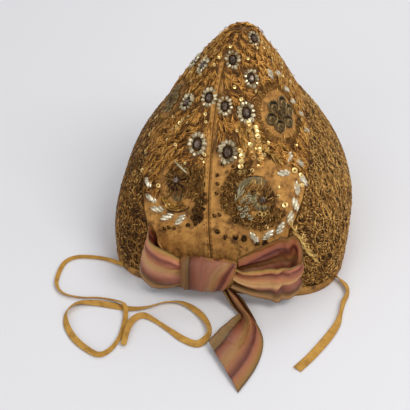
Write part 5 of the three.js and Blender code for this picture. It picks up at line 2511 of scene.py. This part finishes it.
@dataclass(frozen=True)
class Rosettes:
    """Padded flower rosettes low on the crown, with their wreaths of dark purl."""

    looks: Looks
    pad_share: float = 0.92
    pad_rise: float = 1.5
    pad_shade: float = 0.9

    def _pad(self, motif: Motif, squash: float) -> None:
        """Makes a rosette's padded ground.

        Args:
            motif: the rosette.
            squash: level size as a share of the upward size.
        """
        way = np.radians(np.linspace(0.0, 360.0, 49))[:, None]
        share = np.linspace(0.0, 1.0, 12)[None, ::-1]
        reach = self.pad_share * motif.reach * share
        lift = 0.15 + self.pad_rise * np.sqrt(np.clip(1.0 - share**2, 0.0, 1.0))
        x, y = polar((0.0, 0.0), reach, way)
        grid, _ = CAP.drape(motif.seat, (squash * x)[None], y[None], lift)
        shade = np.broadcast_to(self.pad_shade * (1.0 - smooth(share, 0.4, 0.8)), x.shape)
        # work: painted shade under the rosette's threads, fading towards its edge.
        piece = add_piece(
            f"{motif.name}_pad",
            grid_shape(grid[0]),
            self.looks.cloth(CROWN_SILK),
            uv=np.stack([x, y], axis=-1),
            values={"work": shade},
            weld=True,
        )
        settle(piece, Slot.PURL, motif.name)

    def _right(self, dark: Stitcher, silver: Stitcher, bright: Stitcher) -> None:
        """Lays the right rosette: a rayed eye in silver leaves, wrapped in arcs and loose purl.

        Args:
            dark: dark purl.
            silver: silver-green thread.
            bright: bright gold thread.
        """
        seat = ROSETTE_RIGHT.seat
        dark.strew(seat, (-3.0, -3.0), (13.0, 15.0), 60.0, 240, 0.56, (4.0, 7.0))
        dark.rays(seat, RIGHT_EYE, 2.8, 8.4, (-70.0, 130.0), 34, 0.34)
        silver.rays(seat, RIGHT_EYE, 3.2, 9.6, (126.0, 300.0), 30, 0.36)
        dark.arcs(seat, (-3.4, -3.4), [12.3, 13.2], (-80.0, 52.0), 0.14)
        silver.arcs(seat, (-5.0, -0.5), [10.4, 11.2, 12.0, 12.8, 13.6, 14.4], (48.0, 150.0), 0.5)
        dark.arcs(seat, (-5.0, -0.5), [15.2], (60.0, 170.0), 0.3)
        dark.coil(seat, (-5.8, 3.2), 2.2, 1.8, 0.2)
        dark.swarm(seat, (-3.0, -1.0), (15.5, 27.0), (96.0, 205.0), 400, 40.0, 0.4, (2.2, 4.2), 0.8)
        dark.swarm(seat, (-3.0, -1.0), (15.5, 24.0), (198.0, 330.0), 380, 18.0, 0.4, (2.2, 4.2), 0.7)
        dark.coil(seat, (-20.0, -17.0), 3.2, 1.2, 0.25)
        for place in ((-16.0, -8.0), (-12.4, -11.6), (-8.8, -15.0), (-14.4, -13.4), (-11.0, -8.2)):
            silver.coil(seat, place, 2.2, 1.4, 0.62)
        x, y, *form = np.array(RIGHT_LEAVES).T
        silver.leaves(CAP.beside(seat, x, y), *form)
        beads = CAP.beside(seat, np.array([-1.6, 1.4, 4.0]), np.array([-12.6, -13.2, -12.4]))
        bright.rings(beads, (1.3, 1.5), 2.4, 0.7)

    def _left(self, dark: Stitcher, silver: Stitcher, bright: Stitcher) -> None:
        """Lays the left rosette: a rayed eye under a pointed leaf, with dark purl and a copper crescent.

        Args:
            dark: dark purl.
            silver: silver-green thread.
            bright: bright gold thread.
        """
        seat = ROSETTE_LEFT.seat
        dark.strew(seat, (0.0, 4.0), (11.0, 13.0), 80.0, 170, 0.42, (4.0, 7.0))
        dark.rays(seat, LEFT_EYE, 2.4, 9.4, (0.0, 352.0), 50, 0.26)
        dark.rays(seat, LEFT_EYE, 1.8, 6.2, (4.0, 350.0), 32, 0.08)
        dark.strew(seat, (13.0, 8.0), (7.4, 13.0), 78.0, 230, 0.36, (2.6, 4.8))
        dark.swarm(seat, (18.8, -12.0), (0.0, 4.6), (0.0, 360.0), 84, 0.0, 0.2, (1.8, 3.4), 1.2)
        dark.swarm(seat, (18.2, -18.5), (0.0, 4.6), (0.0, 360.0), 88, 0.0, 0.14, (1.8, 3.4), 1.2)
        dark.swarm(seat, (19.2, -5.0), (0.0, 4.4), (0.0, 360.0), 80, 0.0, 0.24, (1.8, 3.4), 1.2)
        silver.strew(seat, (2.6, -5.2), (3.2, 3.4), 62.0, 26, 0.28, (2.5, 4.0))
        x, y, *form = np.array(LEFT_LEAVES).T
        silver.leaves(CAP.beside(seat, x, y), *form)
        bright.swarm(seat, (0.6, -3.2), (7.6, 12.8), (200.0, 304.0), 90, 4.0, 0.36, (3.0, 5.5))
        dark.arcs(seat, (0.6, -3.2), [13.6], (246.0, 326.0), 0.05)

    def make(self) -> None:
        """Makes both rosettes."""
        dark, silver, bright = Stitcher(21), Stitcher(22), Stitcher(23)
        self._pad(ROSETTE_RIGHT, 1.0)
        self._pad(ROSETTE_LEFT, 0.8)
        self._right(dark, silver, bright)
        self._left(dark, silver, bright)
        dark.build("rosette_purl", self.looks.thread(DARK_PURL), Slot.PURL)
        silver.build("rosette_silver_leaves", self.looks.thread(SILVER_GREEN), Slot.PURL)
        bright.build("rosette_gold", self.looks.thread(BRIGHT_GOLD), Slot.PURL)
        eye = cut_stone(EYE_CUT)
        eyes = []
        for motif, (x, y) in ((ROSETTE_RIGHT, RIGHT_EYE), (ROSETTE_LEFT, LEFT_EYE)):
            eyes.append(set_down(eye, CAP.beside(motif.seat, x, y).raised(1.2)))
        settle(sparkle("rosette_hearts", eyes, eye, self.looks.stone(VIOLET_PASTE), 0.7), Slot.STONE)


@dataclass(frozen=True)
class Medallions:
    """Raised coiled flowers on bare discs, each with a looped border and gold bars."""

    looks: Looks
    petals: int = 6
    first_petal: float = 108.0
    petal_reach: Pair = (10.4, 8.4)
    borders: tuple[tuple[float, int, Pair], ...] = ((20.4, 46, (2.1, 1.0)), (22.8, 50, (2.0, 1.0)))
    bar_reach: float = 17.6
    bar_ways: tuple[float, ...] = (140.0, 165.0, 188.0, 212.0, 240.0, 262.0, 284.0, 305.0, 60.0)

    def make(self) -> None:
        """Makes both medallions."""
        grey, dark, gold = Stitcher(31), Stitcher(32), Stitcher(33)
        middle = (0.0, 0.0)
        wide, tall = self.petal_reach
        for motif in MEDALLIONS:
            seat = motif.seat
            size = motif.reach / MEDALLIONS[0].reach
            for petal in range(self.petals):
                way = math.radians(self.first_petal + 360.0 / self.petals * petal)
                place = (wide * size * math.cos(way), tall * size * math.sin(way))
                grey.coil(seat, place, 5.4 * size, lift=0.7, tone=0.42, bulge=0.7)
            grey.coil(seat, middle, 4.2 * size, lift=1.2, tone=0.3)
            for reach, count, loop in self.borders:
                way = np.linspace(0.0, 360.0, count, endpoint=False)
                seats = CAP.beside(seat, *polar(middle, size * reach, np.radians(way)))
                dark.rings(seats.turned(way), loop, lift=0.6, tone=0.4)
            way = np.array(self.bar_ways)
            seats = CAP.beside(seat, *polar(middle, self.bar_reach * size, np.radians(way)))
            gold.bars(seats.turned(way - 90.0), length=4.2, radius=0.6, lift=0.6, tone=0.6)
        nodes = [motif.name for motif in MEDALLIONS]
        grey.build("medallion_coils", self.looks.thread(GREY_PURL), Slot.PURL, *nodes)
        dark.build("medallion_loops", self.looks.thread(DARK_PURL), Slot.PURL)
        gold.build("medallion_bars", self.looks.thread(BRIGHT_GOLD), Slot.PURL)


# Ribbon bow and ties


class RibbonRow(NamedTuple):
    """Line across a ribbon, from its lower to its upper edge."""

    low: Point
    high: Point


LOOP_LEFT = rows_of(
    RibbonRow,
    ((-25.5, -11.0, 11.5), (-26.6, -10.0, 33.7)),
    ((-36.0, -14.0, 9.0), (-35.4, -14.0, 42.0)),
    ((-46.5, -13.0, 7.2), (-43.5, -13.0, 46.2)),
    ((-55.0, -9.0, 7.4), (-50.6, -9.0, 47.6)),
    ((-60.6, -4.0, 12.0), (-53.6, -4.0, 50.5)),
    ((-61.0, 2.0, 16.0), (-52.0, 2.0, 55.0)),
    ((-55.0, 3.5, 14.0), (-48.1, 5.0, 43.0)),
    ((-45.5, 0.5, 12.0), (-44.4, 2.0, 35.6)),
    ((-36.0, -2.5, 11.0), (-36.6, -0.5, 33.6)),
    ((-26.6, -5.0, 11.0), (-27.6, -3.0, 32.0)),
)
LOOP_RIGHT = rows_of(
    RibbonRow,
    ((10.0, -11.0, 15.5), (12.6, -9.5, 33.0)),
    ((19.6, -12.8, 12.5), (19.2, -12.0, 33.6)),
    ((30.0, -13.2, 9.6), (28.2, -13.0, 36.6)),
    ((38.6, -12.6, 8.6), (38.0, -12.6, 39.0)),
    ((43.6, -13.8, 7.4), (43.0, -13.6, 39.8)),
    ((46.0, -10.0, 9.0), (46.2, -9.8, 38.2)),
    ((51.8, -8.6, 8.2), (52.4, -8.4, 38.2)),
    ((57.6, -2.0, 11.4), (58.6, -2.0, 38.4)),
    ((58.4, 2.6, 14.0), (57.4, 4.0, 48.0)),
    ((54.0, 4.0, 15.0), (53.0, 7.0, 55.0)),
    ((49.6, 1.6, 15.5), (48.6, 4.4, 53.0)),
    ((43.0, 1.6, 16.0), (42.0, 6.0, 50.4)),
    ((27.0, -2.0, 14.5), (26.0, 0.4, 41.4)),
    ((13.6, -5.0, 12.5), (13.0, -4.0, 34.4)),
)
TAIL = rows_of(
    RibbonRow,
    ((2.5, -9.0, 8.8), (9.5, -8.0, 11.0)),
    ((6.0, -13.0, 5.5), (13.0, -10.0, 8.5)),
    ((10.5, -18.0, 2.2), (18.5, -14.0, 5.5)),
    ((15.0, -23.5, 1.2), (24.5, -22.0, 3.0)),
    ((17.0, -29.5, 2.0), (31.0, -32.0, 1.2)),
    ((12.5, -38.5, 4.5), (37.5, -45.0, 0.8)),
    ((7.5, -47.5, 5.5), (39.0, -62.0, 0.8)),
    ((3.5, -54.5, 5.0), (35.5, -82.0, 0.8)),
    ((0.0, -61.0, 4.0), (27.5, -104.0, 0.8)),
)


class KnotSection(NamedTuple):
    """Upright oval section of the bow's knot."""

    x: float
    y: float
    z: float
    deep: float
    tall: float


KNOT = rows_of(
    KnotSection,
    (-28.6, -8.6, 22.0, 3.4, 12.6),
    (-26.8, -9.4, 22.2, 6.0, 14.2),
    (-18.0, -9.8, 22.6, 7.0, 14.6),
    (-8.0, -9.8, 22.6, 6.8, 14.6),
    (1.0, -9.6, 23.4, 6.6, 13.6),
    (8.0, -9.0, 25.4, 5.8, 11.0),
    (12.6, -8.4, 27.6, 3.4, 7.6),
)
KNOT_STRIPES = (
    (0.0, 0.02),
    (0.2, 0.06),
    (0.26, 0.1),
    (0.29, 0.22),
    (0.36, 0.3),
    (0.5, 0.34),
    (0.58, 0.44),
    (0.64, 0.6),
    (0.72, 0.72),
    (0.82, 0.8),
    (0.9, 0.88),
    (1.0, 0.95),
)


class TapeRow(NamedTuple):
    """Place of a tape on the table: its width as it lies, its tilt from flat and its lower edge's height."""

    x: float
    y: float
    width: float
    tilt: float
    lift: float


TIE_LEFT = rows_of(
    TapeRow,
    (-76.8, 13.4, 5.0, 80.0, 1.5),
    (-90.0, 19.8, 3.8, 50.0, 0.1),
    (-102.0, 20.9, 3.6, 45.0, 0.1),
    (-114.0, 19.2, 3.6, 45.0, 0.1),
    (-121.5, 12.5, 4.2, 40.0, 0.1),
    (-123.8, 0.0, 4.6, 30.0, 0.1),
    (-122.5, -14.0, 4.2, 35.0, 0.1),
    (-115.0, -23.0, 4.0, 40.0, 0.1),
    (-102.0, -25.2, 4.0, 40.0, 0.1),
    (-88.0, -23.6, 3.6, 45.0, 0.1),
    (-76.0, -25.0, 3.8, 35.0, 0.5),
    (-67.4, -30.6, 4.6, 20.0, 2.6),
    (-64.6, -40.0, 5.2, 15.0, 0.7),
    (-64.0, -52.0, 5.0, 25.0, 0.1),
    (-64.8, -64.0, 4.4, 45.0, 0.1),
    (-68.5, -76.5, 5.0, 55.0, 0.1),
    (-75.5, -83.2, 5.6, 55.0, 0.1),
    (-86.0, -78.2, 6.4, 35.0, 0.1),
    (-97.5, -68.0, 7.2, 20.0, 0.1),
    (-105.8, -55.0, 6.6, 35.0, 0.1),
    (-108.0, -42.5, 6.0, 60.0, 0.1),
    (-102.0, -32.0, 8.0, 25.0, 0.1),
    (-90.0, -29.0, 8.8, 5.0, 0.1),
    (-77.0, -29.6, 8.8, 0.0, 0.1),
    (-63.0, -31.2, 7.0, 5.0, 0.1),
    (-50.5, -28.4, 6.0, 30.0, 0.1),
    (-38.5, -21.4, 5.4, 45.0, 0.1),
    (-26.0, -19.8, 7.0, 25.0, 0.1),
    (-13.5, -27.0, 8.6, 10.0, 0.1),
    (-4.0, -39.5, 7.6, 30.0, 0.1),
    (-1.4, -51.5, 6.6, 60.0, 0.1),
    (-7.5, -60.8, 8.0, 20.0, 0.1),
    (-19.0, -57.6, 7.4, 15.0, 0.1),
    (-31.0, -49.8, 5.0, 45.0, 0.1),
    (-43.0, -41.6, 4.6, 50.0, 0.1),
    (-52.5, -37.4, 7.4, 15.0, 0.1),
    (-58.4, -43.5, 7.6, 5.0, 1.2),
    (-60.2, -56.0, 6.6, 8.0, 2.6),
    (-60.4, -70.5, 6.0, 5.0, 1.4),
)
TIE_RIGHT = rows_of(
    TapeRow,
    (83.5, 25.7, 7.0, 75.0, 0.8),
    (88.5, 22.0, 8.2, 40.0, 0.3),
    (92.5, 16.5, 7.6, 40.0, 0.1),
    (94.0, 8.0, 6.0, 60.0, 0.1),
    (91.8, -2.5, 6.4, 50.0, 0.1),
    (91.0, -13.0, 5.6, 55.0, 0.1),
    (89.6, -25.0, 7.4, 30.0, 0.1),
    (85.0, -37.5, 9.2, 8.0, 0.1),
    (79.5, -50.0, 9.4, 12.0, 0.1),
    (73.0, -62.5, 9.6, 5.0, 0.1),
    (65.5, -75.0, 9.8, 4.0, 0.1),
)
TAPE_THICK = 0.6
TAPE_WIDTH = 6.5
TAPE_SHARE = 0.68
RIBBON_WIDTH = 40.0
RIBBON_THICK = 0.45


def flow(rows: Array, steps: int) -> Array:
    """Smooth curve through rows of values, with the same number of steps between each two.

    Args:
        rows: one row of values per knot.
        steps: points between two knots.

    Returns:
        Rows on the curve.
    """
    padded = np.concatenate([2 * rows[:1] - rows[1:2], rows, 2 * rows[-1:] - rows[-2:-1]])
    place = np.linspace(0.0, len(rows) - 1, steps * (len(rows) - 1) + 1)
    i = np.minimum(place.astype(int), len(rows) - 2)
    s = (place - i).reshape((-1,) + (1,) * (rows.ndim - 1))
    a, b, c, d = (padded[i + k] for k in range(4))
    return 0.5 * (2 * b + (c - a) * s + (2 * a - 5 * b + 4 * c - d) * s**2 + (3 * (b - c) + d - a) * s**3)


def sheet_normals(grid: Array) -> Array:
    """Directions square to a sheet.

    Args:
        grid: points by column and row.

    Returns:
        Unit vectors, shaped as grid.
    """
    return unit(np.cross(np.gradient(grid, axis=0), np.gradient(grid, axis=1)))


@dataclass(frozen=True)
class RibbonPiece:
    """Length of the bow's ribbon through given rows, with pleats where it goes into the knot."""

    node: str
    rows: Sequence[RibbonRow]
    looks: Looks
    pleats: float = 2.0
    swell: float = 0.0
    looped: bool = True
    steps: int = 14
    across: int = 60
    pleat_share: float = 0.62
    crease: float = 0.14
    creases: float = 3.2
    wander: float = 0.18
    wander_pitch: float = 11.0
    slack: float = 0.4
    slack_pitch: float = 17.0
    rumple: float = 0.2
    rumple_pitch: float = 6.0
    edge_fold: float = 1.4
    fold_shares: Pair = (0.17, 0.21)
    fold_flats: Pair = (0.3, 0.6)

    @property
    def name(self) -> str:
        """Returns: the piece's name."""
        return f"{self.node}_ribbon"

    def _stand(self, grid: Array, run: Array, share: Array, drawn: Array) -> Array:
        """How far the ribbon stands out of its rows: pleats, slack and the tail's folded edge.

        Args:
            grid: its points by column and row.
            run: length along of every column.
            share: share of its width of every row.
            drawn: its width as it lies in every column.

        Returns:
            Distances by column and row.
        """
        spare = np.sqrt(np.maximum(RIBBON_WIDTH**2 - drawn**2, 0.0))[:, None]
        flat = 1.0 - spare / RIBBON_WIDTH
        wander = self.wander * np.sin(run / self.wander_pitch)[:, None]
        fold = 2.0 * np.abs(np.cos(math.pi * (self.pleats * share + wander))) - 1.0
        crease = np.cos(math.tau * (self.creases * self.pleats * share + 2.0 * wander + 0.2))
        pleat = self.pleat_share * spare / (4.0 * self.pleats)
        body = self.swell * np.sin(math.pi * share) * flat
        if not self.looped:
            folded = (1.0 - smooth(share, *self.fold_shares)) * smooth(flat, *self.fold_flats)
            body = body + self.edge_fold * folded
        slack = self.slack * ripple(grid, self.slack_pitch, len(self.name)) * flat
        slack = slack + self.rumple * ripple(grid, self.rumple_pitch, len(self.name) + 1)
        return pleat * (fold + self.crease * crease) + body + slack

    def make(self) -> None:
        """Makes the piece."""
        edges = flow(np.array([[row.low, row.high] for row in self.rows]), self.steps)
        share = np.linspace(0.0, 1.0, self.across + 1)[None, :]
        span = edges[:, 1:] - edges[:, :1]
        grid = edges[:, :1] + span * share[..., None]
        run = run_length(grid[:, self.across // 2])
        stand = self._stand(grid, run, share, np.linalg.norm(span[:, 0], axis=-1))
        grid = grid + stand[..., None] * sheet_normals(grid)
        grid[..., 2] = np.maximum(grid[..., 2], RIBBON_THICK)
        uv = np.stack(np.broadcast_arrays(run[:, None], share[:, ::-1] * UV_UNIT), axis=-1)
        front = np.cross(grid[1, 0] - grid[0, 0], grid[0, -1] - grid[0, 0])
        order = slice(None, None, 1 if front[1] < 0.0 else -1)
        if self.looped:
            # The loops' reverse side is darkened as painted shade inside the loops.
            silk, shaded_reverse = self.looks.ribbon(), self.looks.ribbon(RIBBON_SHADED_REVERSE, "striped_ribbon_shaded_reverse")
        else:
            # The tail's tint is partly dirt and partly painted shade, and its stripes hold a painted shadow
            # under the folded edge.
            silk, shaded_reverse = self.looks.ribbon(RIBBON_DIRT_AND_SHADE, "striped_ribbon_tail", TAIL_STRIPES_WITH_FOLD_SHADOW), None
        piece = add_piece(self.name, grid_shape(grid[order]), silk, uv=uv[order])
        thicken(piece, RIBBON_THICK, 0.0, shaded_reverse)
        settle(piece, Slot.RIBBON, self.node)


@dataclass(frozen=True)
class Knot:
    """Ribbon wrapped round the middle of the bow, with its lengthwise pleats."""

    looks: Looks
    steps: int = 20
    around: int = 72
    slant: float = 0.2
    pleat: float = 0.16
    square: float = 2.0 / 2.6
    lie: float = 15.0

    def make(self) -> None:
        """Makes the piece."""
        table = flow(np.array(KNOT), self.steps)
        x, y, z, deep, tall = (column[:, None] for column in table.T)
        way = np.linspace(0.0, math.tau, self.around + 1)[None, :]
        c, s = np.cos(way), np.sin(way)
        share = np.linspace(0.0, 1.0, len(table))[:, None]
        slant = share - self.slant * np.sign(-c) * s * smooth(share, 0.3, 0.8)
        pleat = 0.6 * np.cos(math.tau * 4.5 * slant) + 0.35 * np.cos(math.tau * 9.0 * slant + 1.0)
        pleat = pleat + 0.3 * np.cos(math.tau * 16.0 * slant + 2.0 * s)
        grow = 1.0 + self.pleat * pleat * np.sin(math.pi * share) ** 0.4
        depth = y + deep * grow * np.sign(c) * np.abs(c) ** self.square
        height = z + tall * (0.8 + 0.2 * grow) * np.sign(s) * np.abs(s) ** self.square
        grid = np.stack([x + 0.0 * c, depth, height], axis=-1)
        stripe = 1.0 - np.interp(slant, *zip(*KNOT_STRIPES))
        uv = np.stack([way * self.lie + 0.0 * share, stripe * UV_UNIT], axis=-1)
        body = grid_shape(grid)
        last = len(grid[0]) * (len(grid) - 1)
        caps = [tuple(range(self.around)), tuple(range(last, len(body.verts) - 1))[::-1]]
        shape = Shape(body.verts, body.faces + caps)
        # The knot's tint is partly dirt and partly painted shade.
        silk = self.looks.ribbon(RIBBON_DIRT_AND_SHADE, "striped_ribbon_dirt_and_shade")
        piece = add_piece("bow_knot_ribbon", shape, silk, uv=uv, weld=True, closed=True)
        settle(piece, Slot.RIBBON, "bow_knot")


@dataclass(frozen=True)
class Tie:
    """Free end of the drawstring tape, lying on the table."""

    side: Side
    route: Sequence[TapeRow]
    length: float
    looks: Looks
    steps: int = 8
    across: int = 6
    clear: float = 0.15
    lowest: float = 0.1
    curl: float = 1.1

    def make(self) -> None:
        """Makes the piece."""
        x, y, width, tilt, lift = flow(np.array(self.route), self.steps).T
        width = TAPE_SHARE * width
        heading = unit(np.stack([np.gradient(x), np.gradient(y)], axis=-1))
        flat, stand = polar((0.0, 0.0), width / 2.0, np.radians(tilt))
        middle = np.stack([x, y, lift + stand + TAPE_THICK / 2.0 + self.clear], axis=-1)
        aside = np.stack([heading[:, 1] * flat, -heading[:, 0] * flat, stand], axis=-1)
        share = np.linspace(-1.0, 1.0, self.across + 1)[None, :]
        grid = middle[:, None] + aside[:, None] * share[..., None]
        normal = sheet_normals(grid)
        curl = (1.0 - width / TAPE_WIDTH).clip(0.0)[:, None] * self.curl * (share**2 - 0.5)
        grid = grid + curl[..., None] * normal * np.sign(normal[..., 2:])
        grid[..., 2] = np.maximum(grid[..., 2], TAPE_THICK / 2.0 + self.lowest)
        run = run_length(middle)
        uv = np.stack(np.broadcast_arrays(run[:, None], share * TAPE_WIDTH / 2.0), axis=-1)
        shape = grid_shape(grid[:, ::-1])
        values = {"work": np.zeros(len(shape.verts))}
        name = f"tie_{self.side.word}_tape"
        piece = add_piece(name, shape, self.looks.cloth(TAPE_COTTON), uv=uv, values=values)
        thicken(piece, TAPE_THICK, 0.0)
        settle(piece, Slot.TAPE, f"tie_{self.side.word}")
        log.info("%s: %.0f mm long", name, run[-1])


# Stage


@dataclass(frozen=True)
class Lamp:
    """Soft box light."""

    name: str
    place: Point
    aim: Point
    size: float
    watts: float
    colour: Point


LAMPS = (
    Lamp("key_light", (0.75, -0.35, 1.15), (0.0, 0.05, 0.05), 0.8, 8.6, (1.0, 0.985, 0.965)),
    Lamp("fill_light", (-0.6, -1.1, 0.7), (0.0, 0.05, 0.05), 1.1, 4.0, (0.97, 0.98, 1.0)),
    Lamp("back_light", (0.1, 1.0, 1.1), (0.0, 0.08, 0.08), 0.9, 4.5, (1.0, 1.0, 1.0)),
)


@dataclass(frozen=True)
class Studio:
    """Camera, table and soft light."""

    looks: Looks
    eye: Point = (0.1189, -0.8463, 0.7695)
    aim: Point = (-0.0182, 0.0405, 0.0474)
    lens: float = 134.6
    sensor: float = 36.0
    far: float = 20.0
    world_colour: Colour = (0.95, 0.96, 1.0, 1.0)
    world_light: float = 0.5
    table_size: float = 4.0
    table_height: float = -0.0002

    @staticmethod
    def _place(name: str, data: bpy.types.ID, eye: Point, aim: Point) -> Piece:
        """Sets a camera or a lamp down so that it looks at a point.

        Args:
            name: its name.
            data: the camera or the lamp.
            eye: where it stands.
            aim: what it looks at.

        Returns:
            The object.
        """
        thing = bpy.data.objects.new(name, data)
        thing.location = eye
        thing.rotation_euler = (Vector(aim) - Vector(eye)).to_track_quat("-Z", "Y").to_euler()
        bpy.context.scene.collection.objects.link(thing)
        return thing

    def camera(self) -> None:
        """Makes the camera at the photograph's angle."""
        data = bpy.data.cameras.new("camera")
        data.lens = self.lens
        data.sensor_width = self.sensor
        data.clip_end = self.far
        bpy.context.scene.camera = self._place("camera", data, self.eye, self.aim)

    def light(self) -> None:
        """Makes the lamps and the room's light."""
        for lamp in LAMPS:
            data = bpy.data.lights.new(lamp.name, "AREA")
            data.shape = "DISK"
            data.size = lamp.size
            data.energy = lamp.watts
            data.color = lamp.colour
            self._place(lamp.name, data, lamp.place, lamp.aim)
        world = bpy.data.worlds.new("room")
        world.use_nodes = True
        back = world.node_tree.nodes["Background"]
        back.inputs["Color"].default_value = self.world_colour
        back.inputs["Strength"].default_value = self.world_light
        bpy.context.scene.world = world
        bpy.context.scene.view_settings.view_transform = "Standard"

    def table(self) -> None:
        """Makes the table top."""
        bm = bmesh.new()
        bmesh.ops.create_grid(bm, x_segments=2, y_segments=2, size=self.table_size)
        bmesh.ops.translate(bm, verts=bm.verts, vec=(0.0, 0.0, self.table_height))
        mesh = bpy.data.meshes.new("table")
        bm.to_mesh(mesh)
        bm.free()
        mesh.materials.append(self.looks.patched(PALE_TABLE))
        floor = bpy.data.objects.new("table", mesh)
        bpy.context.scene.collection.objects.link(floor)


def write_sizes() -> None:
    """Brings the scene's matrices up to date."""
    bpy.context.view_layer.update()


def main() -> None:
    """Builds the scene."""
    looks = Looks()
    studio = Studio(looks)
    studio.camera()
    Tie(Side.LEFT, TIE_LEFT, 490.0, looks).make()
    Tie(Side.RIGHT, TIE_RIGHT, 117.0, looks).make()
    for side in Side:
        for part in (CrownCloth, WingCloth, FernWork, Couching):
            part(side, looks).make()
    for part in (Casing, SeamStitches, Stones, SmallWork, Rosettes, Medallions, Knot):
        part(looks).make()
    RibbonPiece("bow_loop_left", LOOP_LEFT, looks).make()
    RibbonPiece("bow_loop_right", LOOP_RIGHT, looks).make()
    RibbonPiece("bow_tail", TAIL, looks, pleats=1.6, swell=1.2, looped=False).make()
    studio.table()
    studio.light()
    write_sizes()


if __name__ == "__main__":
    main()
